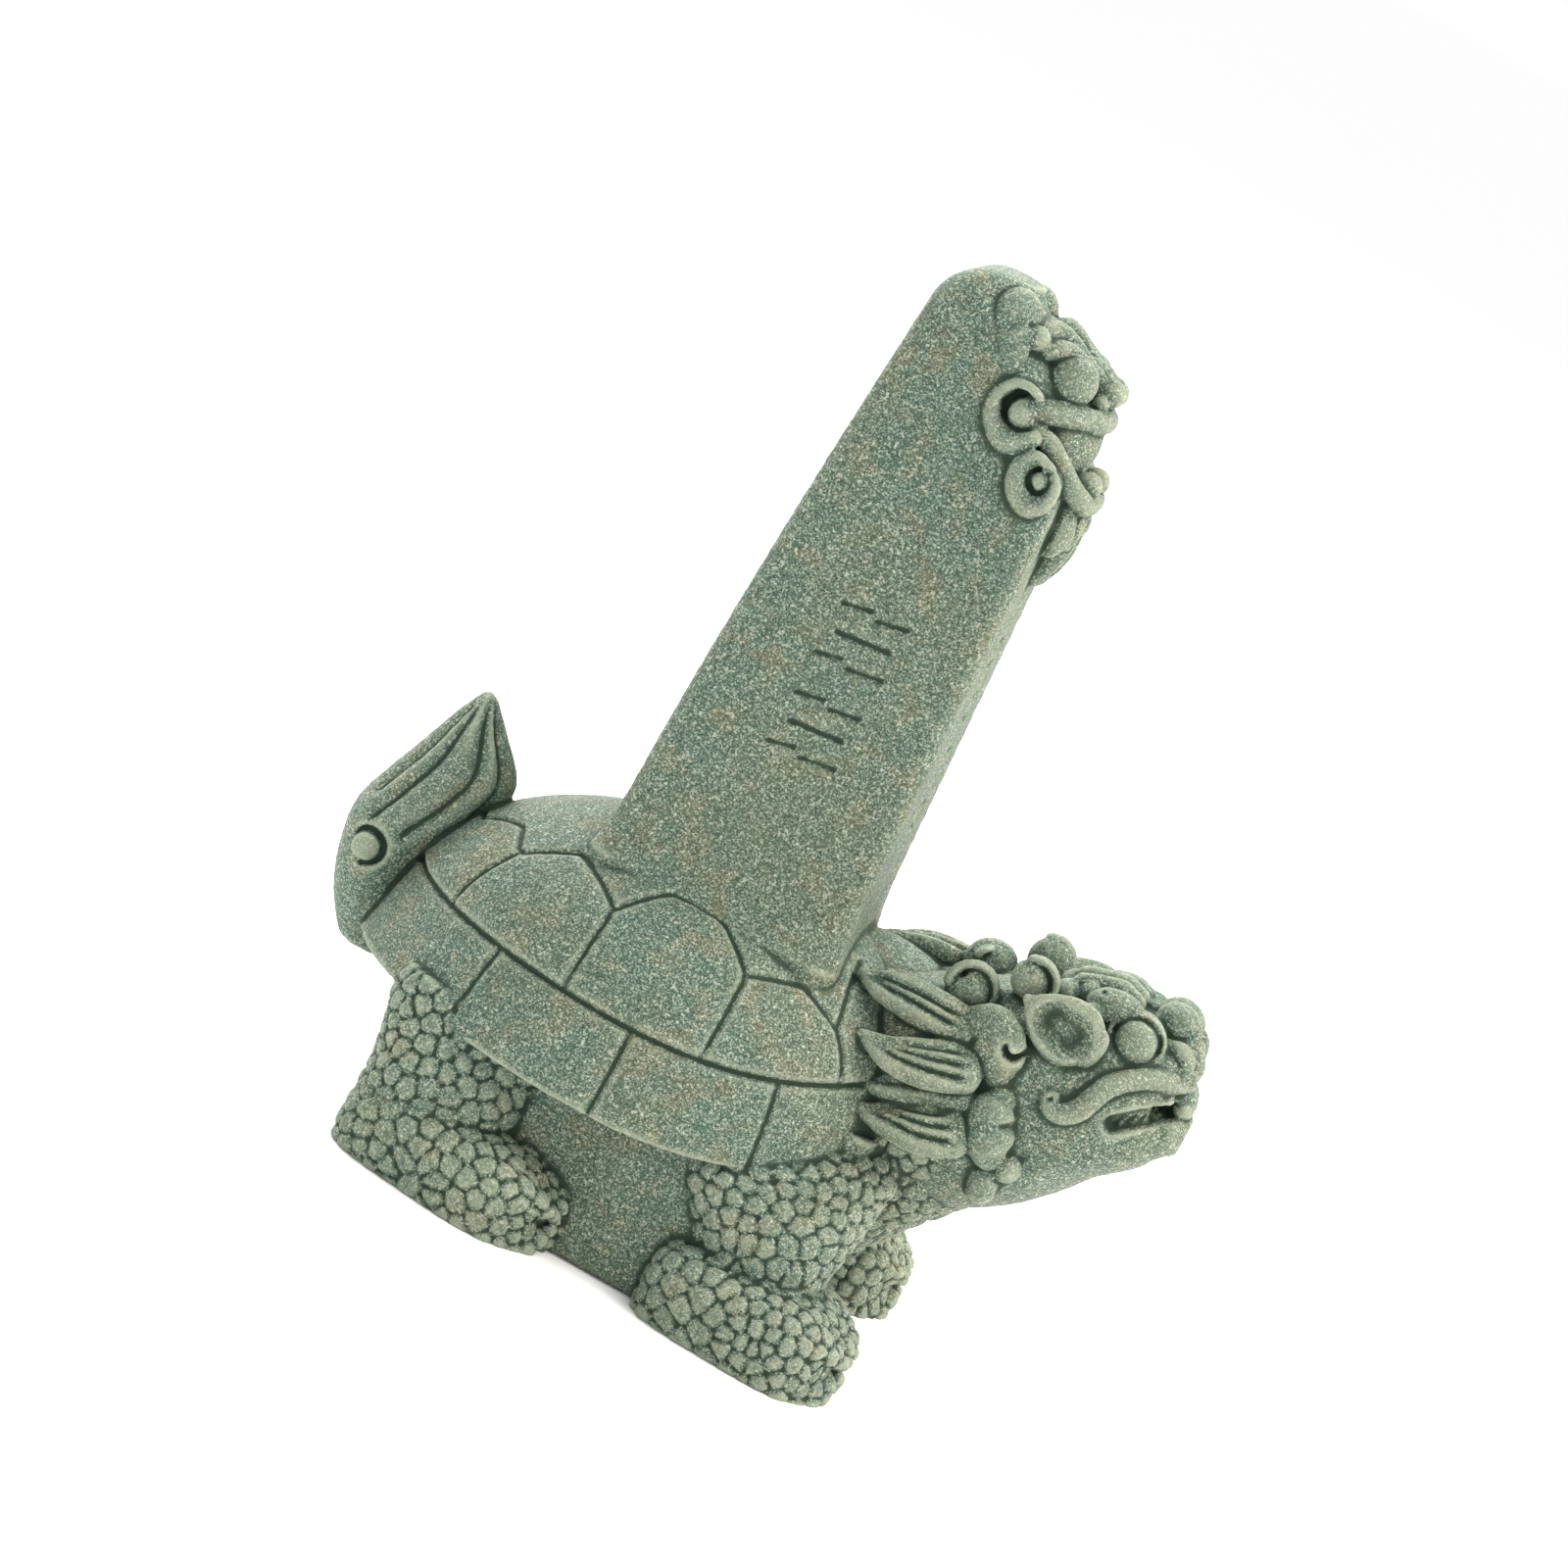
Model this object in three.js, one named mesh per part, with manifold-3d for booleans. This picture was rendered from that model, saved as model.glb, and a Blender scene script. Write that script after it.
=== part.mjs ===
/*
 * Dragon turtle with a pillar on its shell: a small stone guardian figure, carved as one piece.
 * Millimetres, +X towards the head, +Z up, feet on z = 0; the sides match but for one lock of the mane.
 * Forms are rings of points: closed, joined into one solid, then the grooves are cut.
 */
import * as THREE from 'three';
import Module from 'manifold-3d';

// Driving sizes
const SHELL = {
  centreX: -8.5,
  halfLength: 32,
  halfWidth: 27.5,
  rimHeight: 16,
  frontLift: 8.4,
  liftStart: -15,
  liftCurve: 2.2,
  bandHeight: 9.6,
  bandInset: 0.075,
  top: 42.5,
  domeCurve: 1.24,
};
const PILLAR = {
  base: { z: 43, back: -20.5, front: 7, half: 12.6 },
  head: { z: 104, back: -16.7, front: 4.3, half: 10 },
  top: 108.8,
  edge: 1.5,
  topRound: 4,
  flare: 2.6,
  faceFrom: 90,
  faceTo: 97,
  faceRound: 8,
  brow: 8.6,
};
const FOOT = { length: 22.8, width: 19.5, height: 8.4 };
const BELLY = {
  round: 2.5,
  middle: { span: [-15, 7.2], half: 25.6, top: 19, taper: 1.2 },
  keel: { span: [-25, 20], half: 16, top: 25 },
};
const SCALE_RISE = 0.6;
const GROOVE = { half: 0.45, depth: 0.7, clear: 0.5, step: 9 };
const STROKE = { half: 0.42, depth: 0.45, clear: 0.4 };
const STONE_COLOUR = 0x6f8273;

const NEAR = new THREE.Vector3(0, -1, 0);
const UP = new THREE.Vector3(0, 0, 1);
const { lerp, degToRad, clamp, smoothstep } = THREE.MathUtils;

const wasm = await Module();
wasm.setup();

// Small tools

const at = (x, y, z) => new THREE.Vector3(x, y, z);

const steps = (count, make) => Array.from({ length: count }, (_, index) => make(index));

/** A power that keeps the sign, for squarish rounds. */
const signed = (value, power) => Math.sign(value) * Math.abs(value) ** power;

/** The value at t, from 0 to 1, on a list of evenly spaced values. */
function along(values, t) {
  const place = clamp(t, 0, 1) * (values.length - 1);
  const index = Math.min(Math.floor(place), values.length - 2);
  return lerp(values[index], values[index + 1], place - index);
}

/** The value at a height on a list of [height, ...values] rows. */
function level(rows, height, column) {
  const above = rows.findIndex((row) => row[0] >= height);
  if (above === 0) return rows[0][column];
  if (above < 0) return rows.at(-1)[column];
  const [low, high] = [rows[above - 1], rows[above]];
  return lerp(low[column], high[column], (height - low[0]) / (high[0] - low[0]));
}

/** Rings of points with the same count; staggered rings make a lattice of even triangles. */
const form = (rings, staggered = false) => ({ rings, staggered });

/** The same form on the other side of y = 0. */
const mirrored = ({ rings, staggered }) =>
  form(rings.map((ring) => ring.map((point) => at(point.x, -point.y, point.z))), staggered);

const pair = (one) => [one, mirrored(one)];

/** Triangles between the rings, with a fan over each end. */
function triangles(ringCount, sides, staggered) {
  const list = [];
  const index = (ring, side) => ring * sides + ((side + sides) % sides);
  for (let ring = 0; ring < ringCount - 1; ring += 1) {
    for (let side = 0; side < sides; side += 1) {
      const [a, b] = [index(ring, side), index(ring, side + 1)];
      if (staggered && ring % 2 === 0) {
        list.push([a, b, index(ring + 1, side)], [a, index(ring + 1, side), index(ring + 1, side - 1)]);
      } else {
        list.push([a, b, index(ring + 1, side + 1)], [a, index(ring + 1, side + 1), index(ring + 1, side)]);
      }
    }
  }
  const first = ringCount * sides;
  for (let side = 0; side < sides; side += 1) {
    list.push([first, index(0, side + 1), index(0, side)]);
    list.push([first + 1, index(ringCount - 1, side), index(ringCount - 1, side + 1)]);
  }
  return list;
}

const centreOf = (ring) =>
  ring.reduce((sum, point) => sum.add(point), at(0, 0, 0)).divideScalar(ring.length);

/** A form as a solid, with its faces pointing out. */
function solid({ rings, staggered }) {
  const points = [...rings.flat(), centreOf(rings[0]), centreOf(rings.at(-1))];
  const faces = triangles(rings.length, rings[0].length, staggered);
  const volume = faces.reduce(
    (sum, [a, b, c]) => sum + points[a].dot(at(0, 0, 0).crossVectors(points[b], points[c])),
    0,
  );
  const outward = volume > 0 ? faces : faces.map(([a, b, c]) => [a, c, b]);
  return new wasm.Manifold(
    new wasm.Mesh({
      numProp: 3,
      vertProperties: new Float32Array(points.flatMap((point) => point.toArray())),
      triVerts: new Uint32Array(outward.flat()),
    }),
  );
}

const joined = (forms) => forms.map(solid).reduce((whole, next) => whole.add(next));

/** An egg with half sizes along x, y and z, tipped about y. */
function ball(centre, [x, y, z], tip = 0, sides = 8, rows = 5) {
  const turn = degToRad(tip);
  return form(
    steps(rows, (row) => {
      const polar = (Math.PI * (row + 0.5)) / rows;
      return steps(sides, (side) => {
        const angle = (2 * Math.PI * side) / sides;
        const point = at(
          x * Math.sin(polar) * Math.cos(angle),
          y * Math.sin(polar) * Math.sin(angle),
          z * Math.cos(polar),
        );
        return point.applyAxisAngle(NEAR, turn).add(centre);
      });
    }),
  );
}

/** A tube along a smooth path: half widths across and half thickness towards `out`. */
function tube(points, wide, thick = wide, { out = NEAR, sides = 6, rows = 7, lobes = 0, square = 1 } = {}) {
  const path = new THREE.CatmullRomCurve3(points, false, 'centripetal');
  return form(
    steps(rows + 1, (row) => {
      const t = row / rows;
      const centre = path.getPointAt(t);
      const forward = path.getTangentAt(t);
      const side = at(0, 0, 0).crossVectors(forward, out).normalize();
      const face = at(0, 0, 0).crossVectors(side, forward);
      return steps(sides, (corner) => {
        const angle = (2 * Math.PI * corner) / sides;
        const swell = 1 - (lobes && corner % 2 ? lobes : 0);
        return centre
          .clone()
          .addScaledVector(side, along(wide, t) * signed(Math.cos(angle), square) * swell)
          .addScaledVector(face, along(thick, t) * signed(Math.sin(angle), square) * swell);
      });
    }),
  );
}

/** Points of a curl seen from the side: it winds about its centre while its radius shrinks. */
function winding(centre, start, turn, from, to, count = 7) {
  return steps(count, (index) => {
    const t = index / (count - 1);
    const angle = degToRad(start + turn * t);
    const radius = lerp(from, to, t);
    return at(centre.x + radius * Math.cos(angle), centre.y, centre.z + radius * Math.sin(angle));
  });
}

/** A curl that winds in on itself. */
function curl(centre, start, turn, radius, thick) {
  const path = winding(centre, start, turn, radius, radius * 0.3);
  return tube(path, [0.6, 1, 1, 0.9, 0.6].map((share) => share * thick), undefined, { sides: 4, rows: 8 });
}

/** A closed skin tiled with six-sided scales, each with a raised middle; flat where it meets z = 0. */
function scaly(point, around, rows) {
  const small = 0.01;
  const rings = steps(rows + 1, (row) =>
    steps(around, (column) => {
      const u = (column + (row % 2) / 2) / around;
      const v = lerp(0.03, 0.97, row / rows);
      const place = point(u, v);
      const round = point(u + small, v).sub(point(u - small, v));
      const forward = point(u, v + small).sub(point(u, v - small));
      const normal = at(0, 0, 0).crossVectors(round, forward).normalize();
      const raised = (column - Math.floor(row / 2) - row + 3 * rows) % 3 === 0;
      place.addScaledVector(normal, raised ? SCALE_RISE : 0);
      return at(place.x, place.y, Math.max(place.z, 0));
    }),
  );
  return form(rings, true);
}

// Shell

/** Height of the rim's lower edge: level behind, rising towards the neck. */
function rimHeight(x) {
  const front = SHELL.centreX + SHELL.halfLength;
  const reach = Math.max(0, (x - SHELL.liftStart) / (front - SHELL.liftStart));
  return SHELL.rimHeight + SHELL.frontLift * reach ** SHELL.liftCurve;
}

/** A point of the shell by bearing and by its share of the way out; beyond 1 it runs down the band. */
function shellPoint(share, angle) {
  const groove = 1 - SHELL.bandInset;
  const down = clamp(share - 1, 0, 1);
  const reach = share < 1 ? groove * share : 1 - SHELL.bandInset * (1 - down) ** 1.5;
  const x = SHELL.centreX + SHELL.halfLength * reach * Math.cos(angle);
  const y = SHELL.halfWidth * reach * Math.sin(angle);
  const band = SHELL.bandHeight * (1 - down);
  const foot = rimHeight(SHELL.centreX + SHELL.halfLength * lerp(groove, 1, down) * Math.cos(angle)) + band;
  const rise = share < 1 ? (SHELL.top - foot) * (1 - share * share) ** (SHELL.domeCurve / 2) : 0;
  return at(x, y, foot + rise);
}

/** The shell: dome, ring groove, rim band and underside. */
function shell() {
  const sides = 26;
  const angles = steps(sides, (side) => (2 * Math.PI * side) / sides);
  const ringAt = (share, sunk = 0) =>
    angles.map((angle) => {
      const point = shellPoint(share, angle);
      return point.addScaledVector(at(Math.cos(angle), Math.sin(angle), 0.25), -sunk);
    });
  const dome = [24, 45, 62, 76].map((tilt) => ringAt(Math.sin(degToRad(tilt))));
  const ringGroove = [ringAt(0.998), ringAt(1.005, GROOVE.depth), ringAt(1.07)];
  const under = (size, lift) =>
    angles.map((angle) => {
      const x = SHELL.centreX + SHELL.halfLength * size * Math.cos(angle);
      return at(x, SHELL.halfWidth * size * Math.sin(angle), rimHeight(x) + lift);
    });
  return form([...dome, ...ringGroove, ringAt(1.55), ringAt(2), under(0.93, 0.7)]);
}

/** The share and bearing of a plan position on the dome. */
function domePlace([x, y]) {
  const across = (x - SHELL.centreX) / SHELL.halfLength;
  const side = y / SHELL.halfWidth;
  return [Math.hypot(across, side) / (1 - SHELL.bandInset), Math.atan2(side, across)];
}

/** A V-shaped cut that follows a surface between places on it. */
function cut(surface, places, { half, depth, clear }) {
  const small = 0.004;
  const points = places.map(([u, v]) => surface(u, v));
  const rings = places.map(([u, v], index) => {
    const before = points[Math.max(index - 1, 0)];
    const after = points[Math.min(index + 1, points.length - 1)];
    const forward = after.clone().sub(before).normalize();
    const one = surface(u + small, v).sub(surface(u - small, v));
    const other = surface(u, v + small).sub(surface(u, v - small));
    const normal = at(0, 0, 0).crossVectors(one, other).normalize();
    const side = at(0, 0, 0).crossVectors(normal, forward);
    const edge = (half * (depth + clear)) / depth;
    const offset = (across, out) =>
      points[index].clone().addScaledVector(side, across).addScaledVector(normal, out);
    return [offset(edge, clear), offset(-edge, clear), offset(0, -depth)];
  });
  return form(rings);
}

/** A groove on the dome through plan positions, with stops close enough to follow the curve. */
function domeGroove(corners) {
  const stops = corners.flatMap((corner, index) => {
    if (index === 0) return [corner];
    const before = corners[index - 1];
    const distance = Math.hypot(corner[0] - before[0], corner[1] - before[1]);
    const count = Math.max(1, Math.round(distance / GROOVE.step));
    return steps(count, (stop) => corner.map((value, axis) => lerp(before[axis], value, (stop + 1) / count)));
  });
  const places = stops.map(domePlace).map(([share, angle]) => [Math.min(share, 0.996), angle]);
  return cut(shellPoint, places, GROOVE);
}

/** Seams of the plates on the near side, by plan position. */
const SEAMS = [
  [[-31.2, -17], [-29.4, -15.6], [-27.4, -14.2]],
  [[-33.8, -4.8], [-28.9, -9.3], [-27.4, -14.2], [-21.3, -14.2], [-15, -19.7], [-15.3, -25]],
  [[-15, -19.7], [-10.9, -15.7], [-4.8, -15.6], [0.2, -18.8], [0.6, -24.6]],
  [[0.2, -18.8], [5.6, -15.5], [10.8, -15.5]],
  [[9, -6.5], [9.6, -11], [10.8, -15.5], [14.3, -16.8]],
];

function shellGrooves() {
  const seams = SEAMS.map(domeGroove);
  const rearSeam = domeGroove([[-33.8, -4.8], [-34.6, 0], [-33.8, 4.8]]);
  const bearings = [-120, -87, -55];
  const uprights = bearings.map((bearing) =>
    cut(shellPoint, [1.03, 2.02].map((share) => [share, degToRad(bearing)]), GROOVE),
  );
  return [rearSeam, ...[...seams, ...uprights].flatMap(pair)];
}

// Belly and legs

/** A block with rounded upright edges between two levels, a little smaller at its foot and its top. */
function block([back, front], half, [low, high], taper) {
  const levels = [[low, 1], [low + 1, 0], [high, taper]];
  return form(
    levels.map(([z, inset]) => {
      const outline = roundedOutline(back + inset, front - inset, half - inset, BELLY.round, 3);
      return outline.map(([x, y]) => at(x, y, z));
    }),
  );
}

/** Corner points of a rounded rectangle in plan; the front corners may be rounder than the rear ones. */
function roundedOutline(back, front, half, round, count, frontLong = round, frontWide = round) {
  const corners = [
    [front - frontLong, half - frontWide, frontLong, frontWide],
    [back + round, half - round, round, round],
    [back + round, -half + round, round, round],
    [front - frontLong, -half + frontWide, frontLong, frontWide],
  ];
  return corners.flatMap(([x, y, long, wide], quarter) =>
    steps(count, (index) => {
      const angle = (Math.PI / 2) * (quarter + index / (count - 1));
      return [x + long * Math.cos(angle), y + wide * Math.sin(angle)];
    }),
  );
}

/** A foot: a low loaf lying along x, with three toes at its front, turned about its middle. */
function foot({ x, y, length = FOOT.length, width = FOOT.width, height = FOOT.height, turn }) {
  const toes = 3;
  const point = (u, v) => {
    const swing = Math.PI * v;
    const reach = -signed(Math.cos(swing), 0.62);
    const size = signed(Math.sin(swing), 0.62);
    const round = 2 * u - 1;
    const angle = Math.PI * (0.5 + 0.72 * round + 0.28 * round ** 3);
    const across = signed(Math.cos(angle), 0.6);
    const rise = signed(Math.sin(angle), 0.7);
    const front = smoothstep(reach, 0.45, 1);
    const notch = 1.3 * front * (1 - Math.abs(Math.cos((Math.PI * toes * (across + 1)) / 2 - Math.PI / 2)));
    const local = at(
      (length / 2) * reach - notch,
      (width / 2) * across * size,
      height * (0.4 + (0.6 - 0.16 * front) * rise * size),
    );
    return local.applyAxisAngle(UP, degToRad(turn)).add(at(x, y, 0));
  };
  return scaly(point, 15, 8);
}

/** A leg: sections stacked from rows of [height, back, front, inner, outer]. */
function leg(rows, around, count) {
  const [low, high] = [rows[0][0], rows.at(-1)[0]];
  const point = (u, v) => {
    const z = lerp(low, high, v);
    const angle = -2 * Math.PI * u;
    const [back, front, inner, outer] = [1, 2, 3, 4].map((column) => level(rows, z, column));
    return at(
      (back + front) / 2 + ((front - back) / 2) * signed(Math.cos(angle), 0.8),
      -(inner + outer) / 2 + ((outer - inner) / 2) * signed(Math.sin(angle), 0.8),
      z,
    );
  };
  return scaly(point, around, count);
}

const FRONT_LEG = [
  [7, 9, 22.4, 10.5, 25],
  [10.8, 8.4, 22.4, 10, 25],
  [13, 6.2, 23.2, 9.5, 25],
  [16, 3, 24, 8.5, 24],
  [18.5, 2.4, 24.3, 7, 21.8],
  [21.5, 4, 24.2, 5, 17.5],
  [24.5, 8, 22.5, 3, 12],
];
const REAR_LEG = [
  [6, -29, -15, 11.5, 23.6],
  [10.3, -29.2, -13.8, 11.5, 23.6],
  [13, -30.4, -13.2, 11, 23.8],
  [16, -31.3, -12.8, 10.5, 23.8],
  [19, -31, -12.4, 10, 23],
];

function legs() {
  const frontFoot = foot({ x: 17.2, y: -18, turn: -3 });
  const rearFoot = foot({ x: -16.9, y: -20.8, length: 26, width: 18.8, height: 8.7, turn: -13 });
  return [frontFoot, rearFoot, leg(FRONT_LEG, 15, 5), leg(REAR_LEG, 12, 4)].flatMap(pair);
}

/** The belly block: a broad middle that shows between the legs, and a long keel between the feet. */
function belly() {
  const { middle, keel } = BELLY;
  return [
    block(middle.span, middle.half, [0, middle.top], middle.taper),
    block(keel.span, keel.half, [0, keel.top], 0),
  ];
}

// Neck, chest and head

/** The chest between the front legs, leaning forward under the jaw. */
function chest() {
  const [start, end] = [at(11.5, 0, 9.5), at(25.5, 0, 27)];
  const lean = Math.atan2(end.z - start.z, end.x - start.x);
  const point = (u, v) => {
    const angle = 2 * Math.PI * u;
    const centre = start.clone().lerp(end, v);
    const across = lerp(13, 11, v) * Math.cos(angle);
    const deep = 8.2 * Math.sin(angle);
    return centre.add(at(-Math.sin(lean) * deep, across, Math.cos(lean) * deep));
  };
  return scaly(point, 15, 7);
}

/** Neck and skull: sections along a path that rises from the shell to the muzzle, over a fuller jaw. */
function skull() {
  const head = tube(
    [at(13, 0, 26), at(24, 0, 30.6), at(31, 0, 35.2), at(38, 0, 39.8), at(42.8, 0, 41.8), at(45.8, 0, 41.2)],
    [13, 12.8, 12.2, 10.6, 8, 3.6],
    [11.2, 12, 11.5, 8.8, 6.6, 3],
    { out: UP, sides: 12, rows: 7, square: 0.8 },
  );
  const jaw = tube(
    [at(26.5, 0, 26), at(32, 0, 28.2), at(37.6, 0, 32.6), at(42.6, 0, 36.8), at(46, 0, 39.6)],
    [8, 11.4, 10.6, 8.2, 4.4],
    [3, 5.4, 5.2, 4.5, 2.4],
    { out: at(-0.6, 0, 0.8), sides: 10, rows: 4 },
  );
  const crown = ball(at(34.8, 0, 41.8), [9, 9.4, 6.9], 14, 8, 5);
  return [head, jaw, crown];
}

/** The mouth: a slot that slants up to the front on each side. */
function mouth() {
  const path = [at(38.9, -11.5, 36.9), at(42, -10.5, 39.1), at(46.4, -8.6, 42)];
  const slot = tube(path, [0.4, 1.1, 1.2], [3.6, 3.6, 3.6], { sides: 4, rows: 3 });
  const front = tube([at(47.6, -8, 41.6), at(47.8, 8, 41.6)], [0.35, 0.35], [2.6, 2.6], {
    out: at(1, 0, 0),
    sides: 4,
    rows: 1,
  });
  return [front, ...pair(slot)];
}

function headFeatures() {
  const whiskerPath = [
    at(45.2, -3, 44.4),
    at(42.9, -7.2, 43.8),
    at(39.4, -10.2, 42.6),
    at(37.2, -11, 39.9),
    at(35.6, -11.5, 37.2),
    at(33.8, -11.6, 36.9),
    at(33.2, -11.4, 38.2),
  ];
  const whisker = tube(whiskerPath, [1.1, 1.6, 1.45, 1.25, 1.15, 0.9], undefined, { sides: 5, rows: 7 });
  const brow = tube(
    [at(29.6, -8.2, 46.4), at(32.4, -7.4, 47.7), at(35.6, -6, 48.2), at(38.2, -4.6, 47.8)],
    [1, 1.8, 1.7, 1],
    undefined,
    { sides: 5, rows: 3 },
  );
  const ear = tube(
    [at(25.9, -12.6, 46.2), at(28, -12, 45.6), at(31, -11.4, 44.6), at(34.8, -10.8, 43.4)],
    [0.7, 3.4, 4, 2.2],
    [0.5, 1.1, 1.3, 0.8],
    { rows: 4 },
  );
  const bean = tube(
    [at(28, -12, 35.9), at(28.4, -13, 33.6), at(29.4, -13, 31.2), at(30.4, -12.2, 28.9)],
    [1.4, 2.7, 2.8, 1.4],
    undefined,
    { rows: 3 },
  );
  const nape = tube(
    [at(17, -8.2, 39.5), at(22.5, -8.2, 42.3), at(28.5, -7.4, 45.2)],
    [2, 3, 2.4],
    undefined,
    { sides: 5, rows: 3 },
  );
  return [
    ball(at(38.2, -7.4, 46.4), [2.8, 2.3, 2.6], 0, 7, 4),
    ball(at(42, -1.8, 48.6), [2.6, 2.2, 2.5], 0, 6, 4),
    ball(at(44.1, -2.4, 45.9), [1.7, 1.8, 1.6], 0, 5, 3),
    ball(at(25.5, -7.9, 47), [2.2, 2.1, 2.2], 0, 6, 4),
    ball(at(20.8, -8.8, 43.2), [2.5, 2, 2.5], 0, 6, 4),
    ball(at(32.6, -9.2, 27.5), [2, 1.8, 2.2], 0, 6, 4),
    ball(at(25.4, -11.6, 39.6), [4, 2.4, 3.5], 20, 6, 4),
    whisker,
    brow,
    ear,
    bean,
    nape,
  ].flatMap(pair);
}

/** Leaf-shaped locks of the mane that lie back over the shell. */
function mane() {
  const leaf = (points, size) => tube(points, [0.4, size, size, size * 0.8], [0.4, 1.5, 1.8, 1.6], {
    out: at(0.1, -0.75, 0.65),
    rows: 4,
    lobes: 0.2,
  });
  const top = tube(
    [at(9.2, 8, 40.6), at(13.3, 8.4, 41.5), at(18, 8.8, 41.9), at(22, 9.2, 42.4)],
    [0.4, 2.2, 2.4, 1.6],
    [0.4, 1.4, 1.5, 1.4],
    { out: UP, rows: 4, lobes: 0.2 },
  );
  const sides = [
    leaf([at(9.9, -9, 38.9), at(14.5, -10.8, 39.2), at(19.5, -11.4, 39.4), at(25.5, -11.8, 39.2)], 2.4),
    leaf([at(13.2, -14.3, 34.2), at(17.5, -14.6, 34.2), at(22.5, -14.2, 34.8), at(27.2, -13, 35.4)], 2.3),
    leaf([at(16.8, -15.1, 27.6), at(20.5, -15.2, 28.6), at(24.6, -14.4, 30.2), at(28.8, -12.6, 31.4)], 2.2),
  ];
  return [top, ...sides.flatMap(pair)];
}

// Tail

const TAIL = [
  [14.6, -39.6, 2.2, 4.5],
  [18.4, -41.5, 4.1, 7.2],
  [22.5, -42.5, 5, 9],
  [27, -41.8, 5.7, 9.2],
  [31.5, -39.9, 5.9, 8],
  [36, -38.6, 5.3, 6.1],
  [40.8, -39.1, 3, 3.6],
  [44.2, -39.7, 0.5, 0.6],
];

/** The tail: a fluted bud that leans on the shell, with a boss on each side. */
function tail() {
  const [flutes, flute] = [8, 0.14];
  const sides = 2 * flutes;
  const bud = form(
    TAIL.map(([z, x, deep, half]) =>
      steps(sides, (side) => {
        const angle = (2 * Math.PI * side) / sides;
        const swell = side % 2 ? 1 - flute * smoothstep(z, 24, 30) : 1;
        return at(x + deep * Math.cos(angle) * swell, half * Math.sin(angle) * swell, z);
      }),
    ),
  );
  return [bud, ...pair(ball(at(-43, -8.7, 24.4), [2.2, 1.6, 2.2], 0, 6, 3))];
}

// Pillar and its mask

/** Back, front and half width of the pillar at a height; its foot flares softly onto the shell. */
function pillarSize(z) {
  const t = (z - PILLAR.base.z) / (PILLAR.head.z - PILLAR.base.z);
  const lean = Math.max(t, 0) ** 1.5;
  const flare = PILLAR.flare * clamp((PILLAR.base.z + 4 - z) / 9, 0, 1) ** 3;
  return {
    back: lerp(PILLAR.base.back, PILLAR.head.back, lean) - flare * 0.3,
    front: lerp(PILLAR.base.front, PILLAR.head.front, t) + flare * 0.3,
    half: lerp(PILLAR.base.half, PILLAR.head.half, t) + flare,
  };
}

/** The pillar; above `faceFrom` its front is rounded off to carry the mask, and its crown is soft. */
function pillar() {
  const shoulder = PILLAR.top - PILLAR.topRound;
  const shaft = [35, 38, 39.8, 42, 46, PILLAR.faceFrom, PILLAR.faceTo, shoulder];
  const crown = [30, 60, 90].map((tilt) => shoulder + PILLAR.topRound * Math.sin(degToRad(tilt)));
  return form(
    [...shaft, ...crown].map((z) => {
      const { back, front, half } = pillarSize(z);
      const high = clamp((z - shoulder) / PILLAR.topRound, 0, 1);
      const inset = PILLAR.topRound * (1 - Math.sqrt(1 - high * high));
      const face = smoothstep(z, PILLAR.faceFrom, PILLAR.faceTo);
      const brow = PILLAR.brow * smoothstep(z, PILLAR.faceTo + 3, PILLAR.top) + 1.2 * face;
      const round = PILLAR.edge + 2 * smoothstep(PILLAR.base.z - z, 0, 8);
      const depth = front - brow - back - inset;
      const wide = lerp(round, half - inset - 1, face);
      const long = lerp(round, Math.min(PILLAR.faceRound, depth - round), face);
      const outline = roundedOutline(back + inset, front - brow, half - inset, round, 3, long, wide);
      return outline.map(([x, y]) => at(x, y, z));
    }),
  );
}

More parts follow.
